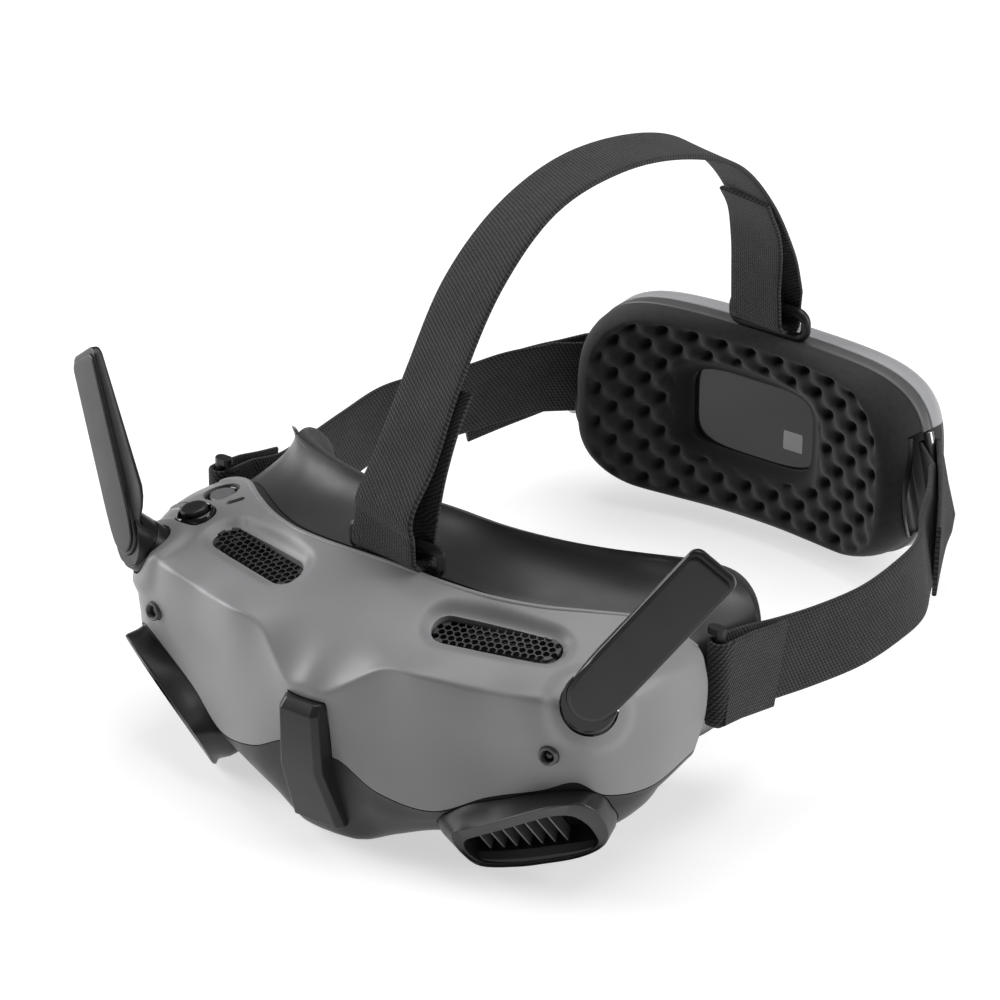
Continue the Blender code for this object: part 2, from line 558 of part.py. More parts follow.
# ---------------------------------------------------------------- optics
mask_half = [(0, 0, 59), (20, 0, 60), (40, 0, 59.5), (55, 0, 57), (63, 0, 50), (64.5, 0, 40), (60, 0, 29),
             (46, 0, 22), (30, 0, 22), (14, 0, 28), (0, 0, 34)]
mask_loop = closed_loop(mask_half, 24)
optics_mask = loft("optics_mask", [[Vector((p[0], y, p[2])) for p in mask_loop] for y in (1.0, 3.0)], FOAM,
                   smooth=30)
for side in (-1, 1):
    at = frame_at((side * EYE_X, 2, EYE_Z), (1, 0, 0), (0, -1, 0))
    stadium = rounded(2 * (BARREL_R + 5), 2 * (BARREL_R + 0.5), BARREL_R + 0.45, 8)
    cut(optics_mask, prism("eye_hole", at, [(stadium, -6), (stadium, 6)], FOAM, group=cutters))
eye_at = frame_at((EYE_X, 0, EYE_Z), (1, 0, 0), (0, 1, 0))
EYE_PIVOT = (EYE_X, 0, EYE_Z)
mirror_pair(turned("lens_barrel", eye_at, [(12.6, -17), (BARREL_R, -17), (BARREL_R, 6),
                                           (BARREL_R - 1.2, 7.2), (BARREL_R - 2.2, 5.2), (12.6, 1.0)],
                   FACE_DARK, n=28, hollow=True, pivot=EYE_PIVOT), "lens_barrel")
mirror_pair(turned("eyepiece_lens", eye_at, [(11.6, -5.0), (12.3, -4.0),
                                            (12.3, -1.0), (9.0, 1.0),
                                            (4.0, 1.8)],
                  LENS_GLASS, n=28, pivot=EYE_PIVOT), "eyepiece_lens")
mirror_pair(prism("display_panel", eye_at, [(rounded(27, 24, 2, 2), -19.2), (rounded(27, 24, 2, 2), -17.4)],
                  GLOSS_BLACK, pivot=EYE_PIVOT), "display_panel")
# Eye-distance sliders: a stem below each barrel, through a slot in the underside.
slider_at = frame_at((EYE_X, -14.2, 0), (1, 0, 0), (0, 0, 1))
slider = prism("ipd_slider", slider_at, [(rounded(9, 6, 1.5, 2), 2.6), (rounded(9, 6, 1.5, 2), 5.6),
                                         (rounded(4, 3, 0.8, 2), 5.8), (rounded(4, 3, 0.8, 2), 26.0)],
               BUTTON_GREY, pivot=EYE_PIVOT, smooth=25)
mirror_pair(slider, "ipd_slider")
slider_slot = prism("slider_slot", slider_at, [(rounded(13.4, 4.4, 1.2, 2), 0.5),
                                               (rounded(13.4, 4.4, 1.2, 2), 17)], TRIM_DARK, group=cutters)
cut(lower_trim, slider_slot, mirrored(slider_slot, "slider_slot_right"))

# ---------------------------------------------------------------- electronics and fan
board_at = frame_at((0, -28.6, 42), (1, 0, 0), (0, -1, 0))
prism("main_board", board_at, [(rounded(84, 24, 2, 2), -0.7), (rounded(84, 24, 2, 2), 0.7)], BOARD_GREEN,
      smooth=25)
sink = prism("heat_sink", frame_at((0, -26.2, 42), (1, 0, 0), (0, 1, 0)),
             [(rounded(76, 22, 1, 1), -1.3), (rounded(76, 22, 1, 1), 0.0)], ALUMINIUM, smooth=25)
for i in range(11):
    at = frame_at((-35 + 7 * i, -26.2, 42), (1, 0, 0), (0, 1, 0))
    fin = rounded(1.2, 20, 0.2, 1)
    fuse(sink, prism("fin", at, [(fin, -0.5), (fin, 4.0)], ALUMINIUM))
fan_at = frame_at(FAN, (1, 0, 0), (0, -1, 0))
fan_box = prism("fan_housing", fan_at, [(rounded(24, 24, 3, 3), -5.2), (rounded(24, 24, 3, 3), 2.6)],
                FACE_DARK, smooth=25)
cut(fan_box, turned("fan_bore", fan_at, [(10.8, -3.4), (10.8, 6)], FACE_DARK, n=28,
                   group=cutters))
rotor = turned("fan_rotor", fan_at, [(4.2, -2.6), (4.2, 1.6)], FACE_DARK, n=18, pivot=FAN,
              smooth=30)
for i in range(7):
    turn = math.radians(360 / 7 * i)
    out = (math.cos(turn), 0, math.sin(turn))
    blade_at = frame_at(FAN, out, (0.5 * math.sin(turn), -0.86, -0.5 * math.cos(turn)))
    fuse(rotor, prism("blade", blade_at, [([(3.4, -2.2), (10.0, -2.6), (10.0, 2.6), (3.4, 2.2)], -0.4),
                                          ([(3.4, -2.2), (10.0, -2.6), (10.0, 2.6), (3.4, 2.2)], 0.4)],
                      FACE_DARK))

# ---------------------------------------------------------------- strap hardware
def strap_loop(name, y_bar, z_bar, z_foot, mat):
    """Upright frame whose top bar the top strap goes round. Its edges are chamfered."""
    high, low = z_bar + 1.5, z_foot
    at = frame_at((0, y_bar, (high + low) / 2), (1, 0, 0), (0, -1, 0))
    w, h = 31.4, high - low
    ring = prism(name, at, [(rounded(w - 1.8, h - 1.8, 1.6, 3), -1.5), (rounded(w, h, 2.4, 3), -0.6),
                            (rounded(w, h, 2.4, 3), 0.6), (rounded(w - 1.8, h - 1.8, 1.6, 3), 1.5)], mat,
                 smooth=30)
    at = frame_at((0, y_bar, (z_bar + low + 0.7) / 2), (1, 0, 0), (0, -1, 0))
    w, h = 26.8, z_bar - low - 3.7
    window = prism("window", at, [(rounded(w + 4, h + 4, 2.6, 2), -2.7), (rounded(w, h, 0.6, 2), -0.6),
                                  (rounded(w, h, 0.6, 2), 0.6), (rounded(w + 4, h + 4, 2.6, 2), 2.7)], mat,
                   group=cutters)
    return cut(ring, window)


strap_loop("front_strap_hook", *FRONT_BAR, 68.6, TRIM_DARK)
strap_loop("rear_strap_loop", *REAR_BAR, 68.2, TRIM_DARK)

# Top strap: round the front bar, over the head, round the rear bar; both ends fold back inside.
turn_r = 1.62 + 0.4 + STRAP_T / 2
y0, z0 = FRONT_BAR
y1, z1 = REAR_BAR
arch = [(-12.6, 84), (-10.5, 92), (-4, 102), (8.5, 117.5), (26, 135), (50, 148.2), (80, 152.2),
        (109.3, 147.5), (136.7, 136.8), (156.5, 119), (169, 98), (173.6, 84)]
arch_roll = [6, 14, 17, 20, 20, 17, 10, 1.5, -7, -15, -14, -5]
front_return = [(4.6, 116), (1.8, 106), (-1.6, 96), (-4.4, 86)]
rear_return = [(167.6, 84), (165.2, 96), (160.6, 107), (154.6, 116.5)]
front_turn = wrap(FRONT_BAR, turn_r, 0, -180)
rear_turn = wrap(REAR_BAR, turn_r, 0, -180)
path2d = spline(front_return, 2).tolist() + front_turn + spline(arch, 3).tolist() + rear_turn \
    + spline(rear_return, 2).tolist()
roll = ([-17, -16, -14, -11, -8, -4, -1] + [0.0] * len(front_turn)
        + spline([[a] for a in arch_roll], 3)[:, 0].tolist() + [0.0] * len(rear_turn)
        + [1, 4, 8, 10, 12, 14, 15])
path = np.array([(0, y, z) for y, z in path2d])
tangent = np.gradient(path, axis=0)
tangent /= np.linalg.norm(tangent, axis=1, keepdims=True)
normal = np.cross(np.array([1.0, 0, 0]), tangent)
twist = np.radians(roll)[:, None]
across = np.array([1.0, 0, 0]) * np.cos(twist) + normal * np.sin(twist)
ribbon("top_strap", path, across, WEBBING, smooth=30)

# Side straps: round the goggles' side bar, back past the temple, round the box's side bar.
side_run = [(82.4, 31, 45.5), (83.0, 45, 41.2), (86.4, 65, 37.9), (89.6, 85, 36.4), (90.2, 104, 36.2),
            (87.6, 119.4, 35.4), (81.4, 133, 35.3), (74.6, 146.4, 35.9), (67.0, 159.5, 35.8)]
side_lean = [0, 0, 0.05, 0.15, 0.3, 0.45, 0.7, 0.9, 1.0]
tab = [(86.6, 47, 41.4), (86.7, 39, 43.4), (86.8, 31, 45.6)]
tail = [(70.6, 163.5, 35.6), (74.6, 155.6, 35.2), (79.4, 147, 34.6), (84.4, 138.6, 34.0)]
goggle_turn = [(x, y, 47.4) for x, y in wrap(ANCHOR_BAR, turn_r, 0, -180)]
box_at = frame_at(BOX_BAR, (0.86, 0.5, 0), BOX_LEAN)
box_turn = [tuple(box_at(u, v, 0)) for u, v in wrap((0, 0), turn_r, 175, -5)]
run = (spline(tab, 2).tolist() + goggle_turn + spline(side_run, 3).tolist() + box_turn
       + spline(tail, 2).tolist())
run = np.array(run)
up, lean_in = np.array([0, 0, 1.0]), np.array(BOX_LEAN)
share = ([0.0] * (5 + len(goggle_turn)) + spline([[a] for a in side_lean], 3)[:, 0].tolist()
         + [1.0] * len(box_turn) + [0.95, 0.9, 0.85, 0.8, 0.75, 0.7, 0.65])
across = up + (lean_in - up) * np.array(share)[:, None]
side_strap = ribbon("side_strap", run, across, WEBBING, smooth=30)
mirror_pair(side_strap, "side_strap")

# Upright bars for the side straps: at the goggles on two lugs, at the box a wire ring.
anchor = turned("strap_anchor", frame_at((*ANCHOR_BAR, 0), (1, 0, 0), (0, 0, 1)),
               [(1.5, 32.8), (1.5, 62.0)], TRIM_DARK, n=12)
for z in (33.4, 61.4):
    lug = prism("lug", frame_at((ANCHOR_BAR[0] - 1.2, ANCHOR_BAR[1], z), (1, 0, 0), (0, 0, 1)),
                [(rounded(5.2, 3.2, 1.4, 2), -0.9), (rounded(5.2, 3.2, 1.4, 2), 0.9)], TRIM_DARK)
    fuse(anchor, lug)
mirror_pair(anchor, "strap_anchor")

# ---------------------------------------------------------------- battery box
BOX_HALF = [(0, 67.6), (14, 67.5), (27, 66.9), (37, 65.7), (44, 63.6), (49.6, 60.4), (53.8, 56),
            (56.6, 50.4), (58.2, 43), (58.6, 34), (58, 25), (56, 16.5), (52, 9.6), (46, 4.4), (37, 1.4),
            (24, 0.1), (10, 0), (0, 0)]
box_outline = closed_loop([(x, 0, z) for x, z in BOX_HALF], 29)


def box_loop(y, inset=0.0, lift=0.0, bow=0.0):
    """The box outline moved in by inset, at depth y. Lift raises its underside, and bow brings
    its sides forward."""
    centre, size = np.array([0, 0, 33.8]), np.array([58.6, 1, 33.8])
    loop = centre + (box_outline - centre) * (size - inset) / size
    loop[:, 1] = y - bow * (loop[:, 0] / 58) ** 2
    loop[:, 2] = np.maximum(loop[:, 2], 0.0)
    loop[:, 2] += lift * (1 - loop[:, 2] / 67.6) ** 3
    return [Vector(p) for p in loop]


def thickened(name, loops, wall, mat):
    """Shell from an open surface over the loops, closed at its last loop, with Solidify."""
    n = len(loops[0])
    faces = [(i * n + j, i * n + (j + 1) % n, (i + 1) * n + (j + 1) % n, (i + 1) * n + j)
             for i in range(len(loops) - 1) for j in range(n)]
    faces.append(tuple(range((len(loops) - 1) * n, len(loops) * n)))
    obj = add(name, [p for loop in loops for p in loop], faces, mat)
    step = obj.modifiers.new("wall", "SOLIDIFY")
    step.thickness, step.offset, step.use_even_offset = wall * 0.001, -1.0, True
    bake(obj)
    return obj


rear_shell = thickened("battery_rear_shell",
                       [box_loop(172.6), box_loop(177, 0.6), box_loop(181, 2.2), box_loop(186, 6.0),
                        box_loop(191, 11.0), box_loop(196, 16.5), box_loop(200.5, 22.0),
                        box_loop(203, 27.0)],
                       2.0, REAR_GREY)

# Front frame: a flange between the pad and the rear shell, and a floor behind the pad.
frame_loops = [box_loop(172.2, 5.6, 4.2), box_loop(172.2, 0.3, 2.5), box_loop(169.9, 0.3, 3.0),
               box_loop(169.9, 3.7, 4.4), box_loop(167.6, 3.9, 4.4), box_loop(169.9, 5.8, 4.2)]
points = [p for loop in frame_loops for p in loop]
n_box = len(box_outline)
faces = [(i * n_box + j, i * n_box + (j + 1) % n_box, (i + 1) * n_box + (j + 1) % n_box,
          (i + 1) * n_box + j) for i in range(4) for j in range(n_box)]
faces += [(5 * n_box + j, 5 * n_box + (j + 1) % n_box, (j + 1) % n_box, j) for j in range(n_box)]
faces += [tuple(range(4 * n_box, 5 * n_box)), tuple(range(5 * n_box, 6 * n_box))[::-1]]
front_frame = add("battery_front_frame", points, faces, TRIM_DARK)

# Bays at both sides, open outward, that hold the wire rings.
bay = prism("bay", frame_at(box_at(3.4, 1.6, 0), (0.86, 0.5, 0), BOX_LEAN),
            [(rounded(24, 18.0, 2.0, 3), -15.6), (rounded(24, 18.0, 2.0, 3), 15.6)], TRIM_DARK,
            group=cutters)
bay_right = mirrored(bay, "bay_right")
ring = turned("box_ring", box_at, [(1.5, -14.6), (1.5, 14.6)], STEEL, n=12)
for z in (-14.0, 14.0):
    arm = prism("ring_arm", frame_at(box_at(0, 3.6, z), (-0.5, 0.86, 0), BOX_LEAN),
                [(rounded(9.6, 1.6, 0.6, 2), -0.5), (rounded(9.6, 1.6, 0.6, 2), 0.5)], STEEL)
    fuse(ring, arm)
mirror_pair(ring, "battery_ring")

# Pad with a recess over the window plate, and shallow cups over its face.
pad_outer = [box_loop(167.3, 3.3, 4.0), box_loop(169.5, 3.3, 4.0), box_loop(169.5, 0.6, 3.6),
             box_loop(167.2, 0.5, 4.2, 2), box_loop(165.6, 1.7, 4.8, 6), box_loop(164.7, 4.4, 4.8, 9),
             box_loop(164.2, 9.5, 3.6, 10)]


def recess_loop(w, h, y, bow=0.0):
    loop = resample([(w / 2 * math.copysign(abs(math.cos(t)) ** 0.5, math.cos(t)),
                      38.4 + h / 2 * math.copysign(abs(math.sin(t)) ** 0.5, math.sin(t)))
                     for t in np.linspace(math.pi / 2, math.pi / 2 - 2 * math.pi, 400)], n_box + 1)[:-1]
    return [Vector((x, y - bow * (x / 58) ** 2, z)) for x, z in loop]


pad_inner = [recess_loop(54, 35, 164.6, 10), recess_loop(49, 30.5, 166.2), recess_loop(48, 30, 167.3)]
pad = loft("battery_pad", pad_outer + pad_inner, FOAM, ring=True)
for moulding in (rear_shell, front_frame, pad):
    cut(moulding, bay, bay_right, keep=True)
window_at = frame_at((0, 167.3, 38.4), (1, 0, 0), (0, -1, 0))
prism("battery_window", window_at, [(rounded(42.4, 24, 5), 0.0), (rounded(42.4, 24, 5), 0.8),
                                    (rounded(41.4, 23, 4.6), 1.2)], GLOSS_BLACK, smooth=25)
for name, x in (("battery_cell_left", 22.5), ("battery_cell_right", -22.5)):
    prism(name, frame_at((x, 180.6, 34), (1, 0, 0), (0, -1, 0)),
          [(rounded(32, 32, 4, 3), -6.6), (rounded(36, 36, 4, 3), -3), (rounded(36, 36, 4, 3), 7.0)], CELL)
prism("battery_board", frame_at((0, 171.4, 35), (1, 0, 0), (0, -1, 0)),
      [(rounded(88, 42, 2, 2), -0.6), (rounded(88, 42, 2, 2), 0.6)], BOARD_GREEN, smooth=25)

# Button, charge lights and socket on the back of the box.
power_at = frame_at((20, 203, 33.8), (1, 0, 0), (0, 1, 0))
lights_at = frame_at((1, 203, 36.8), (1, 0, 0), (0, 1, 0))
socket_at = frame_at((-18, 203, 33.8), (1, 0, 0), (0, 1, 0))
cut(rear_shell,
    turned("power_hole", power_at, [(4.6, -7), (4.6, 6)], TRIM_DARK, group=cutters),
    prism("light_hole", lights_at, [(rounded(13.4, 2.6, 1.2, 3), -5), (rounded(13.4, 2.6, 1.2, 3), 4)],
          TRIM_DARK, group=cutters),
    prism("socket_hole", socket_at, [(rounded(10.6, 4.6, 2.2, 4), -5), (rounded(10.6, 4.6, 2.2, 4), 4)],
          TRIM_DARK, group=cutters))
turned("power_button", power_at, [(4.2, -4.0), (4.2, -0.1), (3.6, 0.3)], BUTTON_GREY)
prism("charge_lights", lights_at, [(rounded(12.7, 1.9, 0.9, 3), -1.8), (rounded(12.7, 1.9, 0.9, 3), -0.1)],
      LENS_GLASS)
plug, mouth = rounded(9.9, 3.9, 1.9, 4), rounded(8.9, 2.9, 1.4, 4)
socket = prism("charge_socket", socket_at, [(plug, -6), (plug, -0.1)], STEEL, smooth=30)
cut(socket, prism("socket_mouth", socket_at, [(mouth, -5), (mouth, 2)], STEEL, group=cutters))

# ---------------------------------------------------------------- into the row's frame
for obj in list(bpy.data.objects):
    if obj.users_collection and cutters in obj.users_collection:
        bpy.data.objects.remove(obj, do_unlink=True)
for obj in goggles.objects:
    obj.location.y -= Y_CENTRE * 0.001
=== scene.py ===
"""Looks of the FPV goggles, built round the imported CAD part. Sizes are in millimetres."""

import math

import bmesh
import bpy
import numpy as np
from mathutils import Matrix, Vector
from mathutils.bvhtree import BVHTree
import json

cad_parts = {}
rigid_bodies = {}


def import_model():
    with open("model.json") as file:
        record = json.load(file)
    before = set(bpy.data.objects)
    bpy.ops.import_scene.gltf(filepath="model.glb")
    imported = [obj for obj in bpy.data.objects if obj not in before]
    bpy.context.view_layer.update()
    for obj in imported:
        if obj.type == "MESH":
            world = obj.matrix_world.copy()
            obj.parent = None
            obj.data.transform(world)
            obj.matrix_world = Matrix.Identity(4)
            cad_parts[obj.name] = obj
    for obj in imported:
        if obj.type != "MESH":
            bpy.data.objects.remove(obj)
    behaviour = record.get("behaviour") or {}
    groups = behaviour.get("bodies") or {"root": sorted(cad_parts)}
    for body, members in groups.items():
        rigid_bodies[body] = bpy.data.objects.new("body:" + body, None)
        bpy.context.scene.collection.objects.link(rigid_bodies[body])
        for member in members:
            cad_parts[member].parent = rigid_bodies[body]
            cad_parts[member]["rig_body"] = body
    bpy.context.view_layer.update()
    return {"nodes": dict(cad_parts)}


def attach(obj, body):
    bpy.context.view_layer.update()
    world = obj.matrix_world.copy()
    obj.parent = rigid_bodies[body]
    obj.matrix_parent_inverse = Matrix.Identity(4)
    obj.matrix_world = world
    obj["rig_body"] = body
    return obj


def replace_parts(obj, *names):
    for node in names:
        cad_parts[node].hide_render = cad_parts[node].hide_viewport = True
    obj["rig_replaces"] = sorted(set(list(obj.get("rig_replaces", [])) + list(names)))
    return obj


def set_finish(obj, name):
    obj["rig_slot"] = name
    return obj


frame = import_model()
Y_SHIFT = 75.3  # the shared frame's origin lies this far behind the goggles' own zero


# ---- materials
class Shader:
    """A material whose nodes are added one by one, each taking the outputs of others."""

    def __init__(self, name):
        self.material = bpy.data.materials.new(name)
        self.material.use_nodes = True
        self.tree = self.material.node_tree
        self.bsdf = self.tree.nodes["Principled BSDF"]

    def node(self, kind, links=(), **settings):
        made = self.tree.nodes.new(kind)
        for key, value in settings.items():
            setattr(made, key, value)
        for socket, value in dict(links).items():
            self.put(made, socket, value)
        return made

    def put(self, node, socket, value):
        if isinstance(value, bpy.types.NodeSocket):
            self.tree.links.new(value, node.inputs[socket])
        else:
            node.inputs[socket].default_value = value

    def math(self, operation, a, b=0.0, c=0.0):
        return self.node("ShaderNodeMath", {0: a, 1: b, 2: c}, operation=operation).outputs[0]

    def ramp(self, value, low, high, to_low=0.0, to_high=1.0):
        made = self.node("ShaderNodeMapRange", {"Value": value, "From Min": low, "From Max": high,
                                                "To Min": to_low, "To Max": to_high})
        return made.outputs[0]

    def noise(self, scale, detail=2.0, where=None):
        where = where or self.node("ShaderNodeTexCoord").outputs["Object"]
        made = self.node("ShaderNodeTexNoise", {"Vector": where, "Scale": scale, "Detail": detail})
        return made.outputs[0]

    def mix(self, share, a, b):
        made = self.node("ShaderNodeMix", data_type="RGBA")
        for socket, value in ((0, share), (6, a), (7, b)):
            self.put(made, socket, value)
        return made.outputs[2]

    def bump(self, height, strength, distance):
        made = self.node("ShaderNodeBump", {"Strength": strength, "Distance": distance, "Height": height})
        self.put(self.bsdf, "Normal", made.outputs[0])

    def set(self, **values):
        for key, value in values.items():
            self.put(self.bsdf, key.replace("_", " "), value)


def rgb(*channels):
    """Colour with alpha. A single channel makes a grey."""
    return (*channels * (3 // len(channels)), 1.0)


def scaled(colour, k):
    return rgb(*[c * k for c in colour])


def plastic(name, colour, rough, grain=0.25, specular=0.5):
    """Moulded plastic: spark-eroded grain, slightly uneven gloss, and faint handling marks."""
    m = Shader(name)
    fine, broad, smudge = m.noise(2600.0, 3.0), m.noise(45.0, 4.0), m.noise(210.0, 5.0)
    m.set(Base_Color=m.mix(m.ramp(broad, 0.35, 0.65), scaled(colour, 0.96), scaled(colour, 1.04)),
          Roughness=m.math("ADD", m.ramp(broad, 0.3, 0.7, rough - 0.05, rough + 0.05),
                           m.ramp(smudge, 0.4, 0.7, 0.0, 0.05)),
          Specular_IOR_Level=specular)
    m.bump(fine, grain, 0.00006)
    return m.material


def webbing(name, dark, light, pitch=0.00125):
    """Woven elastic: slanted rows of yarn over ribs that run the strap's length."""
    m = Shader(name)
    uv = m.node("ShaderNodeSeparateXYZ", {0: m.node("ShaderNodeUVMap", uv_map="weave").outputs[0]})
    along, across = uv.outputs[0], uv.outputs[1]
    slant = m.math("ADD", m.math("DIVIDE", along, pitch), m.math("DIVIDE", across, pitch * 1.5))
    rows = m.math("ABSOLUTE", m.math("SINE", m.math("MULTIPLY", slant, math.pi)))
    ribs = m.math("ABSOLUTE", m.math("SINE", m.math("MULTIPLY", across, math.pi / (pitch * 0.8))))
    fuzz = m.noise(2400.0, 3.0)
    height = m.math("MULTIPLY", m.math("POWER", rows, 0.7), m.ramp(ribs, 0.0, 1.0, 0.45, 1.0))
    height = m.math("ADD", height, m.math("MULTIPLY", fuzz, 0.9))
    tone = m.math("MULTIPLY", m.ramp(height, 0.5, 1.45), m.ramp(m.noise(120.0), 0.3, 0.7, 0.8, 1.0))
    m.set(Base_Color=m.mix(tone, rgb(*dark), rgb(*light)), Roughness=0.9, Sheen_Weight=0.1,
          Sheen_Roughness=0.45, Specular_IOR_Level=0.12)
    m.bump(height, 0.9, 0.00028)
    return m.material


def foam(name, colour, pores=1500.0, painted_shade=False):
    """Open foam skin. Optionally its colour is darkened by painted shade, as far as the first part of the UV
    map says for each spot.
    """
    m = Shader(name)
    where = m.node("ShaderNodeTexCoord").outputs["Object"]
    cells = m.node("ShaderNodeTexVoronoi", {"Vector": where, "Scale": pores}).outputs[0]
    soft = m.noise(500.0, 5.0)
    m.set(Base_Color=m.mix(m.ramp(soft, 0.3, 0.7), scaled(colour, 0.75), scaled(colour, 1.25)),
          Roughness=0.93, Sheen_Weight=0.12, Sheen_Roughness=0.6, Specular_IOR_Level=0.2)
    m.bump(m.math("ADD", m.math("MULTIPLY", cells, 0.5), soft), 0.45, 0.00012)
    if painted_shade:
        # Painted shade: the base colour is mixed toward a sixth of itself by the amount in the UV map's first
        # part.
        uv = m.node("ShaderNodeUVMap", uv_map="weave").outputs[0]
        deep = m.node("ShaderNodeSeparateXYZ", {0: uv}).outputs[0]
        tone = m.bsdf.inputs["Base Color"].links[0].from_socket
        m.set(Base_Color=m.mix(deep, tone, scaled(colour, 0.16)))
    return m.material


def plain(name, colour, rough, metal=0.0, glass=0.0):
    """Smooth piece with the gloss broken a little by fine scratches."""
    m = Shader(name)
    hair = m.noise(700.0, 6.0)
    m.set(Base_Color=m.mix(m.ramp(m.noise(60.0), 0.35, 0.65), scaled(colour, 0.93), rgb(*colour)),
          Roughness=m.ramp(hair, 0.35, 0.75, max(rough - 0.03, 0.02), rough + 0.06), Metallic=metal,
          Transmission_Weight=glass)
    m.bump(hair, 0.05, 0.00003)
    return m.material


GREY = plastic("shell_grey", (0.205, 0.205, 0.21), 0.37, grain=0.22)
DARK = plastic("trim_dark", (0.015, 0.015, 0.0158), 0.34, grain=0.3, specular=0.37)
ARM = plastic("antenna_dark", (0.009, 0.009, 0.0094), 0.33, grain=0.2, specular=0.45)
FACE = plastic("face_dark", (0.03, 0.03, 0.031), 0.4, grain=0.15, specular=0.4)
MESH = plastic("mesh_black", (0.035, 0.035, 0.036), 0.35, grain=0.1)
BUTTON = plastic("button_grey", (0.12, 0.12, 0.124), 0.32, grain=0.08)
REAR = plastic("rear_grey", (0.30, 0.30, 0.31), 0.42, grain=0.2)
BAND = plastic("frame_grey", (0.075, 0.075, 0.077), 0.4, grain=0.2)
STRAP = webbing("strap_weave", (0.003, 0.003, 0.0033), (0.058, 0.058, 0.06))
# The pad's foam takes painted shade from its UV map.
PAD = foam("pad_foam", (0.011, 0.011, 0.0115), painted_shade=True)
FACE_FOAM = foam("face_foam", (0.016, 0.016, 0.017), 1900.0)
GLOSS = plain("gloss_black", (0.01, 0.01, 0.011), 0.12)
GLASS = plain("lens_glass", (0.9, 0.93, 0.95), 0.03, glass=1.0)
BOARD = plastic("board_green", (0.015, 0.09, 0.04), 0.45, grain=0.2)
ALLOY = plain("alloy", (0.6, 0.6, 0.62), 0.34, metal=1.0)
STEEL = plain("steel", (0.42, 0.42, 0.43), 0.3, metal=1.0)
CELL = plain("cell_wrap", (0.04, 0.07, 0.25), 0.35)
LABEL = plain("label_print", (0.22, 0.22, 0.225), 0.5)


# ---- mesh helpers
def placed(p):
    """Metres in the shared frame, from millimetres about the goggles' own zero."""
    return Vector((p[0], p[1] - Y_SHIFT, p[2])) * 0.001


def link(name, data):
    obj = bpy.data.objects.new(name, data)
    bpy.context.scene.collection.objects.link(obj)
    return obj


def make(name, points, faces, material, replaces=(), body="goggles", smooth=40.0, uv=None, slot=None):
    """Piece from points in millimetres. Without a body it is a cutter."""
    mesh = bpy.data.meshes.new(name)
    mesh.from_pydata([placed(p)[:] for p in points], [], faces)
    mesh.validate()
    turn = bmesh.new()
    turn.from_mesh(mesh)
    bmesh.ops.recalc_face_normals(turn, faces=turn.faces)
    turn.to_mesh(mesh)
    turn.free()
    if uv is not None:
        # The weave UV map holds the straps' weave coordinates, and on the pad the amount of painted shade.
        layer = mesh.uv_layers.new(name="weave")
        index = np.empty(len(mesh.loops), np.int32)
        mesh.loops.foreach_get("vertex_index", index)
        layer.data.foreach_set("uv", (np.asarray(uv, np.float32)[index] * 0.001).ravel())
    mesh.materials.append(material)
    for polygon in mesh.polygons:
        polygon.use_smooth = True
    mesh.set_sharp_from_angle(angle=math.radians(smooth))
    obj = link(name, mesh)
    if body:
        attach(obj, body)
        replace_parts(obj, *replaces)
        if slot:
            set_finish(obj, slot)
    return obj


def loft(name, loops, material, ring=False, caps=True, **rest):
    """Skin over loops of equal length. A ring joins the last loop to the first."""
    n = len(loops[0])
    points = [p for loop in loops for p in loop]
    faces = []
    for i in range(len(loops) if ring else len(loops) - 1):
        a, b = i * n, ((i + 1) % len(loops)) * n
        faces += [(a + j, a + (j + 1) % n, b + (j + 1) % n, b + j) for j in range(n)]
    if caps and not ring:
        faces += [tuple(range(n))[::-1], tuple(range(len(points) - n, len(points)))]
    return make(name, points, faces, material, **rest)


def frame_at(origin, along, out):
    """Function from (a, b, c) to a point: a along, c outward, b across."""
    c = Vector(out).normalized()
    a = (Vector(along) - c * Vector(along).dot(c)).normalized()
    b, origin = c.cross(a), Vector(origin)
    return lambda u, v, w: origin + a * u + b * v + c * w


def rounded(w, h, r, n=8):
    """Outline of a rectangle with round corners."""
    r = min(r, w / 2 - 1e-3, h / 2 - 1e-3)
    corners = ((w / 2 - r, h / 2 - r, 0), (r - w / 2, h / 2 - r, 90), (r - w / 2, r - h / 2, 180),
               (w / 2 - r, r - h / 2, 270))
    return [(x + r * math.cos(math.radians(start + 90 * i / n)),
             y + r * math.sin(math.radians(start + 90 * i / n)))
            for x, y, start in corners for i in range(n + 1)]


def circle(r, n=48):
    return [(r * math.cos(2 * math.pi * i / n), r * math.sin(2 * math.pi * i / n)) for i in range(n)]


def lathe(name, place, profile, material, ring=False, n=48, **rest):
    """Turned piece: (radius, height) pairs about the outward axis of place."""
    loops = [[place(u, v, h) for u, v in circle(max(r, 0.01), n)] for r, h in profile]
    return loft(name, loops, material, ring=ring, **rest)


def prism(name, place, levels, material, **rest):
    """Piece from (outline, height) pairs about the outward axis of place."""
    return loft(name, [[place(u, v, h) for u, v in outline] for outline, h in levels], material, **rest)


def block(name, place, outline, low, high, material=DARK, body=None, **rest):
    """Straight block over an outline: a cutter, unless it is given a body."""
    return prism(name, place, [(outline, low), (outline, high)], material, body=body, **rest)


def tube(name, path, ups, sides, radius, turns, material, **rest):
    """Round bar along a path, given two directions across it at each point."""
    angles = np.linspace(0, 2 * math.pi, turns + 1)[:-1]
    return loft(name, [[p + (u * math.cos(a) + v * math.sin(a)) * radius for a in angles]
                       for p, u, v in zip(path, ups, sides)], material, **rest)


def bevel(obj, width, segments=3, angle=35.0):
    made = obj.modifiers.new("bevel", "BEVEL")
    made.width, made.segments, made.limit_method = width * 0.001, segments, "ANGLE"
    made.angle_limit, made.harden_normals = math.radians(angle), True
    return obj


def apply(obj):
    graph = bpy.context.evaluated_depsgraph_get()
    made = bpy.data.meshes.new_from_object(obj.evaluated_get(graph))
    obj.modifiers.clear()
    obj.data = made
    return obj


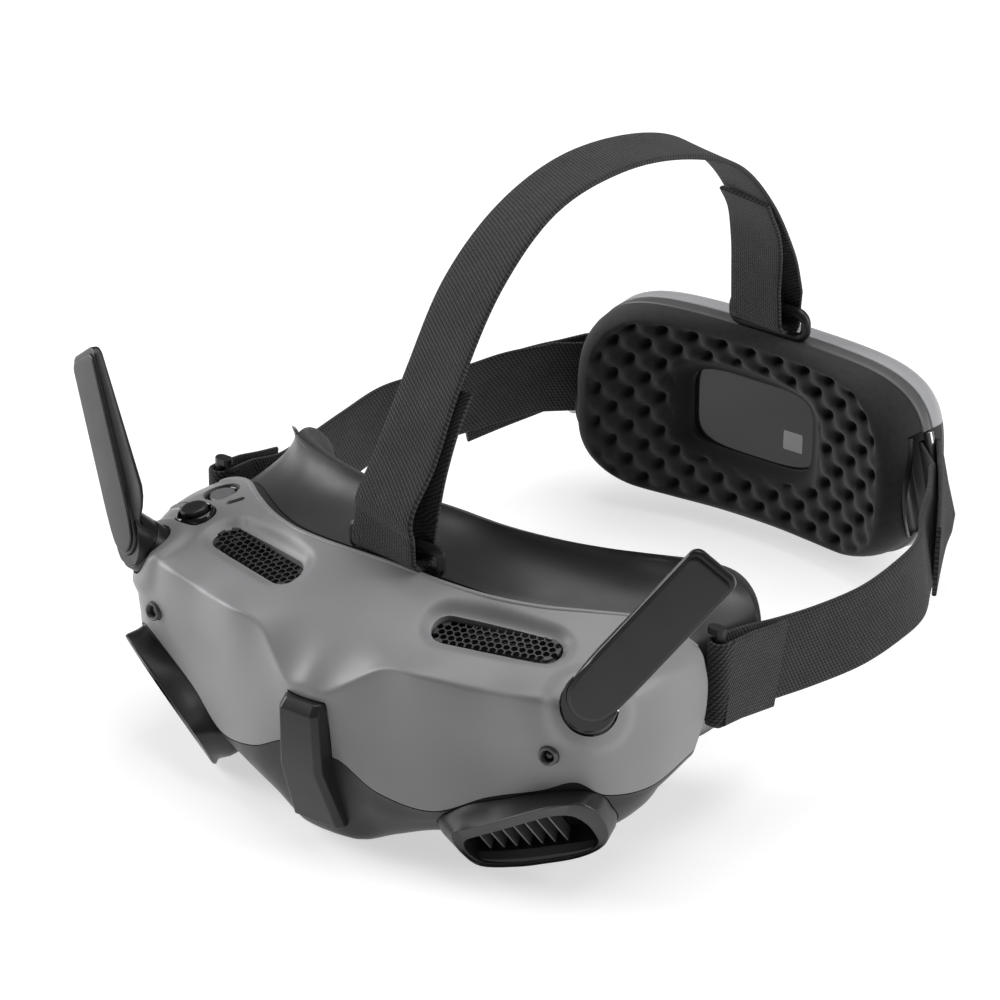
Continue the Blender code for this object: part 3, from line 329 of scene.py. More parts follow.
def cut(obj, *cutters, operation="DIFFERENCE"):
    """Boolean with each cutter, which is then removed."""
    for cutter in cutters:
        step = obj.modifiers.new("cut", "BOOLEAN")
        step.operation, step.solver, step.object = operation, "EXACT", cutter
        apply(obj)
        bpy.data.objects.remove(cutter, do_unlink=True)
    return obj


def on_right(name):
    return name.replace("left", "right")


def mirror(obj, name):
    """Mirror image across the middle, with the same bevels and the other side's names."""
    mesh = obj.data.copy()
    mesh.transform(Matrix.Diagonal((-1, 1, 1, 1)))
    mesh.flip_normals()
    twin = link(name, mesh)
    for step in obj.modifiers:
        copy = twin.modifiers.new(step.name, "BEVEL")
        copy.width, copy.segments, copy.limit_method = step.width, step.segments, "ANGLE"
        copy.angle_limit, copy.harden_normals = step.angle_limit, True
    if "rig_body" in obj:
        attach(twin, on_right(obj["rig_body"]))
        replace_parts(twin, *[on_right(n) for n in obj.get("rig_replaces", [])])
        if "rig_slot" in obj:
            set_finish(twin, obj["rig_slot"])
    return twin


def both(name, build):
    """build(name) for the wearer's left (+X), then its mirror image for the right."""
    left = build(name + "_left")
    return left, mirror(left, name + "_right")


FLIP_X = np.array([-1.0, 1.0, 1.0])


def spline(points, per, kinks=(), mirrored=False):
    """Catmull-Rom along axis 0. A kink (index, share) lets the slope break there; a mirrored
    start meets its own mirror image smoothly."""
    p = np.asarray(points, float)
    into = np.empty_like(p)
    into[1:-1] = (p[2:] - p[:-2]) / 2
    into[0], into[-1] = p[1] - p[0], p[-1] - p[-2]
    if mirrored:
        into[0] = (p[1] - p[1] * FLIP_X) / 2
    out = into.copy()
    for i, share in kinks:
        into[i] = (1 - share) * into[i] + share * (p[i] - p[i - 1])
        out[i] = (1 - share) * out[i] + share * (p[i + 1] - p[i])
    made = []
    for i in range(len(p) - 1):
        for t in np.arange(per) / per:
            h = (2 * t**3 - 3 * t**2 + 1, t**3 - 2 * t**2 + t, 3 * t**2 - 2 * t**3, t**3 - t**2)
            made.append(h[0] * p[i] + h[1] * out[i] + h[2] * p[i + 1] + h[3] * into[i + 1])
    made.append(p[-1])
    return np.array(made)


def relax(p, times):
    """Evens out a path, keeping its ends."""
    for _ in range(times):
        p = np.concatenate([p[:1], (p[:-2] + 2 * p[1:-1] + p[2:]) / 4, p[-1:]])
    return p


def resample(points, n):
    """n points at even distances along a path."""
    p = np.asarray(points, float)
    s = np.r_[0, np.cumsum(np.linalg.norm(np.diff(p, axis=0), axis=1))]
    t = np.linspace(0, s[-1], n)
    return np.stack([np.interp(t, s, p[:, i]) for i in range(p.shape[1])], 1)


def normals_of(grid):
    n = np.cross(np.gradient(grid, axis=1), np.gradient(grid, axis=0))
    return n / np.linalg.norm(n, axis=2, keepdims=True)


def whole(half):
    """Grid or path from the middle outward, joined to its mirror image."""
    return np.concatenate([half[:0:-1] * FLIP_X, half])


def closed_loop(half, n):
    """Closed loop through a half outline that starts and ends in the middle."""
    half = resample(spline(half, 12, mirrored=True), n)
    return np.concatenate([half, half[-2:0:-1] * FLIP_X])


def sheet_solid(name, grid, wall, material, normals, **rest):
    """Wall behind a grid of points, closed along its four edges."""
    nu, nv = grid.shape[:2]
    points = np.concatenate([grid.reshape(-1, 3), (grid - normals * wall).reshape(-1, 3)])
    m = nu * nv

    def at(i, j):
        return i * nv + j

    faces = []
    for i in range(nu - 1):
        for j in range(nv - 1):
            a, b, c, d = at(i, j), at(i + 1, j), at(i + 1, j + 1), at(i, j + 1)
            faces += [(a, b, c, d), (d + m, c + m, b + m, a + m)]
    edge = ([at(i, 0) for i in range(nu - 1)] + [at(nu - 1, j) for j in range(nv - 1)]
            + [at(i, nv - 1) for i in range(nu - 1, 0, -1)] + [at(0, j) for j in range(nv - 1, 0, -1)])
    faces += [(b, a, a + m, b + m) for a, b in zip(edge, edge[1:] + edge[:1])]
    return make(name, points, faces, material, **rest)


def smoothstep(x, a, b):
    """0 below a, 1 above b, smooth in between."""
    t = np.clip((x - a) / (b - a), 0, 1)
    return t * t * (3 - 2 * t)


# ---- front shell
BOSS = np.array([73.2, -24.4, 56.0])
BOSS_AXIS = np.array(Vector((0.45, -0.62, 0.64)).normalized())
GRILLE = (39.9, -19.2, 63.5)
GRILLE_YAW = math.radians(16.8)
GRILLE_OUT = (0.06, -0.21, 0.97)
SLOT_REACH = 13.4  # from a grille's middle to the centre of its round end
# Control points from the middle to the side; each row runs from the upper edge over the brow and down.
SHELL = np.array([
    [(0, -13, 70.4), (0, -24, 66.9), (0, -38, 60), (0, -50.2, 50.2), (0, -50.6, 45), (0, -50, 37),
     (0, -48.6, 28)],
    [(7, -13, 70.3), (7, -24, 66.7), (7.5, -38, 60), (7.2, -49.8, 50), (7.6, -49.2, 45),
     (8, -48.4, 37), (9, -47.8, 28.6)],
    [(20, -13, 70), (20, -24, 65.6), (20, -36, 61.5), (20.5, -43.8, 58.4), (20, -45, 51),
     (20.5, -45.6, 38), (21, -46.8, 22.4)],
    [(33, -11.4, 69.5), (33.5, -20, 64.6), (33, -33, 61.6), (32, -42.4, 59.6), (32, -42.6, 52),
     (33.5, -41.8, 38), (35.5, -42, 19.4)],
    [(45, -6, 68.2), (46, -15, 64), (46, -28, 61), (46, -37, 57.8), (47, -37, 50), (48, -35.6, 38),
     (49.3, -36.3, 25.8)],
    [(56, 1.5, 67), (58.5, -7, 64), (60, -21, 61.4), (61, -33.5, 58.8), (61.5, -33.8, 50),
     (63, -32.4, 41), (62.5, -31, 30)],
    [(65, 9.4, 65), (68.5, -2, 62.9), (71.5, -14, 60.4), (73.5, -25.6, 56.8), (74.2, -28, 50),
     (74, -28.6, 42), (72, -28.6, 34.6)],
    [(71, 13, 62.8), (74.5, 3, 61.8), (77.5, -6, 60.3), (79.6, -14, 56.8), (80.2, -17, 50),
     (80, -19.5, 41), (78, -22.5, 30)],
    [(76.5, 15, 60.2), (79, 8, 59.6), (81, 3, 58.6), (82.4, -1, 56.4), (83.5, -3, 50), (83.8, -5, 40),
     (82.5, -8, 27.4)],
    [(80.6, 16, 57.6), (81.4, 15.9, 56.8), (82.2, 15.8, 55.6), (83, 15.6, 53.4), (84.2, 15.4, 47.5),
     (84.4, 14, 38.5), (83.4, 11, 29.5)],
], float)
# How sharp the crease of the brow is, row by row.
BROW = np.array([0.5, 0.6, 0.85, 0.85, 0.8, 0.7, 0.3, 0.0, 0.0, 0.0])[:, None]


def surface(control, per_row, per_column, kinks=(), soften=2):
    """Smooth grid over both halves, from control points on the wearer's left."""
    rows = relax(spline(np.swapaxes(control, 0, 1), per_row, kinks), soften)
    return whole(spline(np.swapaxes(rows, 0, 1), per_column, mirrored=True))


shell_grid = surface(SHELL, 12, 12, [(3, BROW)])
shell_normals = normals_of(shell_grid)
folded = shell_grid.copy()
folded[..., 0] = np.abs(folded[..., 0])

# Soft collar round each antenna boss, and a sloping recess round each grille.
offset = folded - BOSS
deep = offset @ BOSS_AXIS
away = np.linalg.norm(offset - deep[..., None] * BOSS_AXIS, axis=2)
lift = 1.5 * (1 - smoothstep(away, 9.0, 13.0)) * (np.abs(deep) < 14)
at_grille = frame_at(GRILLE, (math.cos(GRILLE_YAW), math.sin(GRILLE_YAW), 0), GRILLE_OUT)
axes = [np.array(at_grille(*unit) - at_grille(0, 0, 0)) for unit in ((1, 0, 0), (0, 1, 0), (0, 0, 1))]
offset = folded - np.array(GRILLE)
u, v, w = (offset @ axis for axis in axes)
outside = np.hypot(np.maximum(np.abs(u) - SLOT_REACH, 0), np.maximum(np.abs(v) - 0.3, 0)) - 4.3
sink = 2.0 * (1 - smoothstep(outside, 0.2, 4.2)) * (np.abs(w) < 10)
shell_grid = shell_grid + shell_normals * (lift - sink)[..., None]


def trim_control():
    """Control points of the chin: its upper row lies just under the shell's lower edge."""
    trim = np.array([
        [(0, -46.6, 15), (0, -41, 0), (0, -29, 0), (0, -19, 13)],
        [(9, -45, 15), (9, -40, 0), (9, -28.6, 0), (9, -18.4, 12.6)],
        [(21, -43.4, 13), (20, -37, 4.2), (20, -29, 4.0), (20, -17, 11)],
        [(35, -38.6, 14), (34, -33.6, 8.8), (34, -24, 8), (35, -14, 11)],
        [(49, -33, 16), (49, -27, 8), (50, -18, 8), (52, -8, 11.4)],
        [(63, -28, 20), (63, -22, 11), (64, -12, 11), (66, 0, 16)],
        [(73.6, -25, 25), (74, -18, 16), (73.6, -8, 16), (73, 4, 22)],
        [(79, -18, 24), (79.2, -11, 20), (78.6, -3, 20), (76.6, 7.4, 25)],
        [(82.2, -5, 25.4), (81.4, -2, 24.4), (80.2, 2, 24.6), (78.2, 8.4, 27)],
        [(82.6, 10.6, 27.6), (81.4, 10.4, 26.6), (80.2, 10.4, 26.6), (78.8, 10.6, 27.6)],
    ], float)
    down = SHELL[:, 6] - SHELL[:, 5]
    top = SHELL[:, 6] + down / np.linalg.norm(down, axis=1, keepdims=True) * 0.3
    return np.concatenate([top[:, None], trim], 1)


trim_grid = surface(trim_control(), 10, 12, soften=1)
trim_grid[..., 2] = np.maximum(trim_grid[..., 2], 0.0)
trim_normals = normals_of(trim_grid)
shell_normals = normals_of(shell_grid)
shared = shell_normals[:, -1] + trim_normals[:, 0]
shared /= np.linalg.norm(shared, axis=1, keepdims=True)
shell_normals[:, -1] = trim_normals[:, 0] = shared
WALL = 2.0
shell = sheet_solid("shell_skin", shell_grid, WALL, GREY, shell_normals, replaces=["front_shell"],
                    slot="shell_grey")
trim = sheet_solid("chin_trim", trim_grid, WALL, DARK, trim_normals, replaces=["lower_trim"],
                   slot="trim_dark")


def rim_bead(name, radius=0.85):
    """Rounded lip along the shell's upper edge."""
    path = shell_grid[1:-1, 0] - shell_normals[1:-1, 0] * (radius - 0.3)
    ahead = np.gradient(path, axis=0)
    ahead /= np.linalg.norm(ahead, axis=1, keepdims=True)
    up = shell_normals[1:-1, 0] - ahead * (shell_normals[1:-1, 0] * ahead).sum(1)[:, None]
    up /= np.linalg.norm(up, axis=1, keepdims=True)
    return tube(name, path, up, np.cross(ahead, up), radius, 12, GREY, smooth=60, slot="shell_grey")


rim_bead("shell_rim")


def nose_bar(name, grow, **rest):
    """Bevelled bar up the middle: depth and height of its face, half its width, depth of its back."""
    levels = []
    for y, z, half, back in (
            (-46.4, 5.6, 8.4, -41.6), (-54.0, 25.6, 6.9, -46.4), (-54.8, 43.0, 6.5, -49.4),
            (-54.5, 43.8, 6.4, -49.2), (-52.4, 46.0 + grow, 6.0, -49.2)):
        side, deep = half + grow, back + grow
        levels.append([(side, y + 1.6, z), (half - 1.4, y - grow, z), (1.4 - half, y - grow, z),
                       (-side, y + 1.6, z), (-side, deep, z), (side, deep, z)])
    return loft(name, levels, DARK, smooth=25, **rest)


bevel(nose_bar("nose_bar", 0.0, slot="trim_dark"), 0.5)

# ---- intake ducts
DUCT = Vector((61.6, -33.0, 17.0))
DUCT_OUT = Vector((0.44, -0.868, -0.225)).normalized()
DUCT_LONG = Vector((0.893, 0.385, 0.27))
duct_at = frame_at(DUCT, DUCT_LONG, DUCT_OUT)
# Outlines across the hood as seen along its axis: the seam with the shell, the crease round its
# front, and the mouth. Each starts at the outer end and runs over the top.
DUCT_SEAM = [
    (21.8, 2.5), (20.8, 7.9), (16, 10.5), (8, 10.5), (0, 10.5), (-8, 10.5), (-17, 10.2), (-24.5, 7.0),
    (-26.6, 2), (-25, -4), (-18, -9), (-6, -10.2), (2, -10.2), (10, -10.1), (17.2, -9.2), (21.2, -4.6)]
DUCT_CREASE = [
    (20.6, -1.5), (19.4, 4.6), (15.4, 8.3), (8, 8.6), (0, 7.5), (-8, 6.0), (-15, 5.0), (-20.6, 4.4),
    (-22.3, 1.6), (-21.3, -3.6), (-17.6, -8.9), (-8, -10.7), (0, -10.8), (9, -10.3), (15.5, -8.5),
    (19.3, -5.6)]
DUCT_HOLE = [
    (16.7, -4.5), (15.4, 0.4), (12.2, 3.9), (7, 4.8), (0, 3.8), (-8, 2.3), (-14.5, 1.2), (-18.6, 0.3),
    (-20.2, -1.8), (-19.4, -5.4), (-16.4, -8.3), (-8, -9.9), (0, -10.0), (8.5, -9.6), (13.8, -8.6),
    (16.2, -7.0)]
DUCT_LEAN = 0.26  # how far the mouth's top leans forward, per mm of height


def ring_through(points, per=5):
    """Closed smooth curve through (u, v) points."""
    p = np.asarray(points, float)
    slope = (np.roll(p, -1, 0) - np.roll(p, 1, 0)) / 2
    t = np.arange(per)[:, None, None] / per
    q, out = np.roll(p, -1, 0), np.roll(slope, -1, 0)
    made = ((2 * t**3 - 3 * t**2 + 1) * p + (t**3 - 2 * t**2 + t) * slope + (3 * t**2 - 2 * t**3) * q
            + (t**3 - t**2) * out)
    return np.swapaxes(made, 0, 1).reshape(-1, 2)


DUCT_SEAM, DUCT_CREASE, DUCT_HOLE = (ring_through(o) for o in (DUCT_SEAM, DUCT_CREASE, DUCT_HOLE))
DUCT_SIDE = DUCT_SEAM * 0.45 + DUCT_CREASE * 0.55


def duct_on(u, v, deep, lean):
    """Place on a plane across the duct that leans forward at the top, stretched so that it covers
    the same outline as seen from in front."""
    v = v / (1 - lean)
    return duct_at(u + 0.44 * lean * v, v, deep + lean * v)


def duct_ring(outline, deep, scale=1.0, lean=0.0, grow=0.0):
    """An outline across the duct, scaled and grown about its own middle."""
    middle = outline.mean(axis=0)
    off = outline - middle
    off = off * (scale + grow / np.linalg.norm(off, axis=1, keepdims=True))
    return [duct_on(u, v, deep, lean) for u, v in middle + off]


DUCT_OUTER = [
    (DUCT_SEAM, -19, 0.82), (DUCT_SEAM, -15, 0.92), (DUCT_SEAM, -11, 0.98), (DUCT_SEAM, -8, 1.0),
    (DUCT_SEAM, -6, 1.0), (DUCT_SIDE, -3.0, 1.0, 0.13), (DUCT_CREASE, -0.75, 1.0, DUCT_LEAN),
    (DUCT_CREASE, -0.4, 0.995, DUCT_LEAN), (DUCT_CREASE, -0.1, 0.985, DUCT_LEAN)]
DUCT_INNER = [
    (DUCT_CREASE, 0.0, 0.97, DUCT_LEAN), (DUCT_HOLE, -0.75, 1.02, DUCT_LEAN),
    (DUCT_HOLE, -0.8, 1.0, DUCT_LEAN), (DUCT_HOLE, -1.05, 0.985, DUCT_LEAN),
    (DUCT_HOLE, -5.2, 0.97, DUCT_LEAN), (DUCT_HOLE, -9.4, 0.93, DUCT_LEAN)]
both("duct_hood", lambda name: loft(
    name, [duct_ring(*r) for r in DUCT_OUTER + DUCT_INNER], DARK, caps=False,
    replaces=["intake_duct_left"], smooth=32, slot="trim_dark"))


def slats(name):
    """Upright fins in the mouth, each a thin wedge between a lower and an upper end."""
    points, faces = [], []
    for i in range(7):
        for u, v in ((-13.5 + 3.48 * i, -10.4 + 0.23 * i), (-17.7 + 3.45 * i, 2.4 + 0.4 * i)):
            for across, deep in ((-0.27, -4.7), (0.27, -4.7), (0.45, -9.3), (-0.45, -9.3)):
                points.append(duct_on(u + across, v, deep, DUCT_LEAN))
        k = i * 8
        faces += [(k, k + 1, k + 5, k + 4), (k + 1, k + 2, k + 6, k + 5), (k + 2, k + 3, k + 7, k + 6),
                  (k + 3, k, k + 4, k + 7), (k + 3, k + 2, k + 1, k), (k + 4, k + 5, k + 6, k + 7)]
    fins = make(name, points, faces, BUTTON, replaces=["intake_fins_left"], smooth=25, slot="trim_dark")
    return bevel(fins, 0.12, 2)


both("duct_slats", slats)
both("duct_back", lambda name: loft(
    name, [duct_ring(DUCT_HOLE, deep, 0.95, DUCT_LEAN) for deep in (-10.0, -9.3)], GLOSS,
    slot="gloss_black"))

# The hood's outside, a little grown: it cuts the shell and the chin.
hull = [loft("hull", [duct_ring(*r, grow=0.25) for r in DUCT_OUTER], DARK, body=None)]
hull.append(mirror(hull[0], "hull_right"))
trim_hull = [mirror(hull[1], "trim_hull"), mirror(hull[0], "trim_hull_right")]

# ---- holes in the shell
slot_shape = block("slot", at_grille, rounded(36, 9.8, 4.5), -12, 8)
ARM_DIR = Vector((0.521, 0.325, 0.788))
boss_at = frame_at(BOSS, ARM_DIR, BOSS_AXIS)
boss_hole = block("boss_hole", boss_at, circle(7.9), -9, 12)
sensor_at = frame_at((66.1, -32.9, 42.4), (1, 0, 0), (0.2, -0.975, 0.1))
sensor_hole = block("sensor_hole", sensor_at, circle(2.85, 32), -7, 5)
KNOB_AXIS = Vector((-0.20, -0.12, 0.972)).normalized()
knob_at = frame_at((-68.4, -10.0, 61.6), (1, 0, 0), KNOB_AXIS)
record_at = frame_at((-69.5, 3.5, 61.4), (1, 0, 0), KNOB_AXIS)
light_at = frame_at((-61.2, -1.0, 63.6), (0.8, 0.6, 0), KNOB_AXIS)
back_at = frame_at((-77.6, -6.0, 59.2), (1, 0, 0), (-0.45, -0.15, 0.88))
cut(shell, *hull, nose_bar("bar_hull", 0.25, body=None), slot_shape, mirror(slot_shape, "slot_right"),
    boss_hole, mirror(boss_hole, "boss_hole_right"), sensor_hole, mirror(sensor_hole, "sensor_hole_right"),
    block("knob_hole", knob_at, circle(5.9), -8, 6), block("record_hole", record_at, circle(5.35), -8, 6),
    block("light_hole", light_at, rounded(5.4, 1.9, 0.9), -7, 6),
    block("back_hole", back_at, rounded(7, 4.4, 2), -7, 6))
cut(trim, *trim_hull)
bevel(shell, 0.35, 2, 50)
bevel(trim, 0.3, 2, 50)

# ---- grilles
def grille(name):
    """Plate with a honeycomb of six-sided holes."""
    pitch, reach = 2.2, 0.95 * 1.12  # between two holes; from a hole's middle to its corners
    plate = block(name, at_grille, rounded(35, 8.9, 4.1), -2.3, -1.5, MESH, "goggles",
                  replaces=["top_grille_left"], smooth=30, slot="mesh_black")
    cells = bmesh.new()
    for r in range(-2, 3):
        for c in range(-9, 10):
            x, y = (c + (r % 2) * 0.5) * pitch, r * pitch * 0.866
            rim = math.hypot(max(abs(x) - SLOT_REACH, 0), max(abs(y) - 0.3, 0))
            if rim > 3.75:
                continue
            turns = [math.radians(60 * k) for k in range(6)]
            corners = [(x + reach * math.sin(a), y + reach * math.cos(a)) for a in turns]
            low, high = ([cells.verts.new(placed(at_grille(*corner, w))) for corner in corners]
                         for w in (-5, 0))
            cells.faces.new(high)
            cells.faces.new(low[::-1])
            for k in range(6):
                cells.faces.new((low[k], low[(k + 1) % 6], high[(k + 1) % 6], high[k]))
    bmesh.ops.recalc_face_normals(cells, faces=cells.faces)
    mesh = bpy.data.meshes.new("cells")
    cells.to_mesh(mesh)
    cells.free()
    return bevel(cut(plate, link("cells", mesh)), 0.12, 2)


both("grille_mesh", grille)
both("grille_dark", lambda name: block(name, at_grille, rounded(34, 8, 3.8), -6.4, -6.0, GLOSS, "goggles",
                                       slot="gloss_black"))

# ---- front cameras
both("camera_bezel", lambda name: lathe(name, sensor_at, [
    (2.65, -4.0), (2.65, 0.1), (2.45, 0.35), (2.1, 0.4), (1.85, 0.2), (1.55, -1.2), (1.5, -4.0)],
    BAND, ring=True, replaces=["sensor_bezel_left"], slot="gloss_black", n=40))
both("camera_lens", lambda name: lathe(
    name, sensor_at, [(1.4, -3.6), (1.4, -1.4), (1.2, -1.0), (0.7, -0.75), (0.0, -0.68)], GLOSS,
    replaces=["sensor_lens_left"], slot="gloss_black", n=32))

# ---- antennas
arm_at = frame_at((76.9, -31.6, 60.8), ARM_DIR.normalized(), (0.407, -0.898, 0.101))


def arm_outline(inset, tip=0.0):
    """Paddle outline: a round base that widens into straight sides, and a blunt tip."""
    r, c = 6.7 - inset, max(2.8 - inset * 0.6, 0.6)
    base = [(2.4 + r * math.cos(math.radians(a)), r * math.sin(math.radians(a))) for a in range(96, 265, 6)]
    half, end = 7.4 - inset, 53.5 - inset - tip
    lower = [(s, -half + (half - r) * (1 - s / 13) ** 2) for s in (4, 7, 10, 13)]
    corners = [(end - c + c * math.cos(math.radians(a)), s * (half - c) + c * math.sin(math.radians(a)))
               for s, first in ((-1, 270), (1, 0)) for a in range(first, first + 91, 10)]
    return base + lower + corners + [(s, -v) for s, v in lower[::-1]]


def arm(name):
    """Paddle body: flat front, back that swells behind the hinge and thins to the tip."""
    back = [(-7.4, -3.5), (3.5, -3.6), (8.5, -6.0), (14, -6.7), (22, -5.8), (36, -4.5), (53.5, -3.5)]
    bu, bw = zip(*back)
    loops = []
    for inset, share in ((1.3, 0.0), (0.5, 0.0), (0.12, 0.07), (0.0, 0.2), (0.0, 0.7), (0.12, 0.84),
                         (0.5, 0.94), (1.3, 1.0), (3.2, 1.02)):
        outline = arm_outline(inset)
        loops.append([arm_at(a, b, -0.75 + (np.interp(a, bu, bw) + 0.75) * share) for a, b in outline])
    return loft(name, loops, ARM, body="antenna_left", replaces=["antenna_arm_left"], smooth=40,
                slot="trim_dark")


both("antenna_body", arm)
both("antenna_plate", lambda name: prism(name, arm_at, [
    (arm_outline(0.9, 0.9), -0.7), (arm_outline(0.85, 0.9), -0.35), (arm_outline(0.9, 0.9), -0.16),
    (arm_outline(1.1, 0.9), -0.04), (arm_outline(1.5, 0.9), 0.0)], ARM, body="antenna_left",
    replaces=["antenna_cover_left"], smooth=30, slot="trim_dark"))


def collar(name):
    """Round collar with a flat and a seat for the arm."""
    obj = lathe(name, boss_at, [
        (5.2, -5.4), (7.3, -4.6), (7.45, 3.1), (7.35, 3.35), (7.1, 3.45), (7.1, 3.85), (7.35, 3.95),
        (7.45, 4.2), (7.45, 12)], ARM, body="antenna_left", replaces=["antenna_collar_left"],
                slot="trim_dark")
    front = [(-30, -1.6), (30, -1.6), (30, 20), (-30, 20)]
    behind = [(3.6, -3.85), (8.2, -6.4), (14, -7.0), (30, -7.0), (30, 3), (3.6, 3)]
    seat = block("seat", arm_at, arm_outline(-0.22), -3.75, 4)
    ahead, back = (loft(part, [[arm_at(a, b, c) for a, c in outline] for b in (-20, 20)], DARK, body=None)
                   for part, outline in (("ahead", front), ("behind", behind)))
    cut(obj, ahead, seat, back)
    return bevel(obj, 0.25, 2, 40)


both("antenna_joint", collar)

# ---- controls
lathe("stick_skirt", knob_at, [(5.5, -4), (5.5, 0.9), (5.3, 1.3), (4.95, 1.5), (4.7, 1.3), (4.7, -4)],
      GLOSS, ring=True, replaces=["joystick_ring"], slot="gloss_black")
lathe("stick_cap", knob_at, [
    (0.2, -1.0), (3.6, -1.0), (3.9, -0.6), (3.7, 1.6), (3.9, 2.3), (3.8, 2.7), (3.4, 2.95), (2.6, 2.75),
    (0.0, 2.6)], DARK, body="stick_cap", replaces=["joystick_cap"], slot="button_grey")
lathe("record_rim", record_at, [(5.0, -3.6), (5.0, 0.5), (4.85, 0.75), (4.4, 0.8), (4.15, 0.6), (4.1, -3.6)],
      GLOSS, ring=True, replaces=["record_ring"], slot="gloss_black")
lathe("record_cap", record_at, [(3.7, -3.2), (3.7, 0.6), (3.6, 0.9), (3.3, 1.1), (2.6, 1.05), (0.0, 0.85)],
      BUTTON, body="record_button", replaces=["record_button"], slot="button_grey")

# ---- face shell and foam
FACE_FRONT = [(0, -9, 67.4), (18, -9, 67.2), (33, -7.4, 66.4), (45, -2, 65), (56, 5.5, 63.6),
              (65, 12.6, 61.6), (72, 16.2, 59), (77.4, 18.4, 54), (79.6, 18.8, 46), (79.6, 17.5, 37),
              (77, 14, 28.6), (68, 6, 20.4), (54, -3, 14.6), (38, -9, 12.4), (20, -13, 14), (0, -15, 17)]
FACE_REAR = [(0, 12, 77), (18, 11.6, 77), (34, 14, 76.8), (48, 18.3, 76.5), (60, 24.5, 75.6),
             (68, 33, 72), (74, 42, 65.5), (77.6, 47, 57), (79, 49, 47), (78.6, 49, 37), (75.6, 47, 26),
             (68, 41, 15), (56, 33, 9), (42, 26, 8), (28, 20, 13), (17, 13.5, 24), (8, 9.6, 33), (0, 8.6, 36)]
front_loop, rear_loop = (closed_loop(half, 120) for half in (FACE_FRONT, FACE_REAR))


def flare(t, inset, ahead=0.0):
    """Loop a share t of the way from the shell to the face, moved in by inset and back by ahead."""
    back, out = 1 - (1 - t) ** 1.7, t**1.7
    loop = front_loop + (rear_loop - front_loop) * np.array([out, back, out])
    along = np.roll(loop, -1, 0) - np.roll(loop, 1, 0)
    push = np.stack([-along[:, 2], np.zeros(len(loop)), along[:, 0]], 1)
    loop = loop - push / np.linalg.norm(push, axis=1, keepdims=True) * inset
    return loop + np.array([0.0, ahead, 0.0])


steps = np.linspace(0, 1, 14)
loft("face_cup", [flare(0, 0.9), flare(0.045, 0.9), flare(0.06, 0.75), flare(0.06, 0.15), flare(0.075, 0)]
     + [flare(t, 0) for t in steps[2:-1]]
     + [flare(1, 0.15), flare(1, 0.6, 0.35), flare(1, 1.3, 0.35), flare(1, 1.75, 0.1)]
     + [flare(t, 1.9) for t in steps[::-1]],
     FACE, ring=True, replaces=["face_shell"], smooth=60, slot="face_dark")
cushion = loft("face_cushion", [flare(1, inset, ahead) for inset, ahead in (
    (2.9, 0.4), (2.6, 1.6), (2.5, 3.6), (2.9, 5.2), (3.9, 6.4), (5.4, 7.0), (7.4, 7.0), (9.2, 6.3),
    (10.4, 5.0), (11.0, 3.2), (11.0, 0.4))], FACE_FOAM, ring=True, replaces=["face_foam"], smooth=60,
               slot="foam")

# Soft mask round the two lenses, puffed between its edges.
EYE_X, EYE_Z = 32, 42
MASK_HALF = [(0, 0, 59), (20, 0, 60), (40, 0, 59.5), (55, 0, 57), (63, 0, 50), (64.5, 0, 40), (60, 0, 29),
             (46, 0, 22), (30, 0, 22), (14, 0, 28), (0, 0, 34)]
mask_outline = closed_loop(MASK_HALF, 96)
mask_centre = mask_outline.mean(axis=0)
mask = loft("light_mask", [
    mask_centre + (mask_outline - mask_centre) * k + np.array([0, y, 0])
    for k, y in ((0.97, 0.9), (0.992, 1.2), (1.0, 2.0), (0.992, 2.8), (0.97, 3.1))], FACE_FOAM,
            replaces=["optics_mask"], slot="foam")
cut(mask, *[block("eye_hole", frame_at((side * EYE_X, 2, EYE_Z), (1, 0, 0), (0, -1, 0)),
                  rounded(41.6, 32.6, 16.2), -6, 6) for side in (-1, 1)])
fine = mask.modifiers.new("foam", "REMESH")
fine.mode, fine.voxel_size = "VOXEL", 0.0007
soft = mask.modifiers.new("soft", "SMOOTH")
soft.factor, soft.iterations = 0.5, 6
apply(mask)
spot = np.array([v.co[:] for v in mask.data.vertices]) * 1000
from_eye = np.min([
    np.hypot(np.maximum(np.abs(spot[:, 0] - side * EYE_X) - 4.5, 0), spot[:, 2] - EYE_Z) - 16.3
    for side in (-1, 1)], axis=0)
puff = np.sin(np.clip(from_eye / 7.0, 0, 1) * math.pi) * 0.7
puff = puff + 0.2 * np.sin(spot[:, 0] * 0.9) * np.sin(spot[:, 2] * 0.7)
spot[:, 1] += np.where(spot[:, 1] > 2, 1, -1) * np.clip(puff, -0.1, 0.8)
mask.data.vertices.foreach_set("co", (spot / 1000).ravel())
mask.data.update()

# ---- straps
STRAP_HALF, STRAP_THICK = 12.5, 1.4


def band():
    """Cross-section of webbing: flat faces, round edges."""
    t = STRAP_THICK / 2
    top = [(x, t) for x in np.linspace(STRAP_HALF - t, t - STRAP_HALF, 9)]
    edge = [(-(STRAP_HALF - t) - t * math.sin(a), t * math.cos(a)) for a in np.linspace(0, math.pi, 6)[1:-1]]
    return top + edge + [(-x, -y) for x, y in top] + [(-x, -y) for x, y in edge]


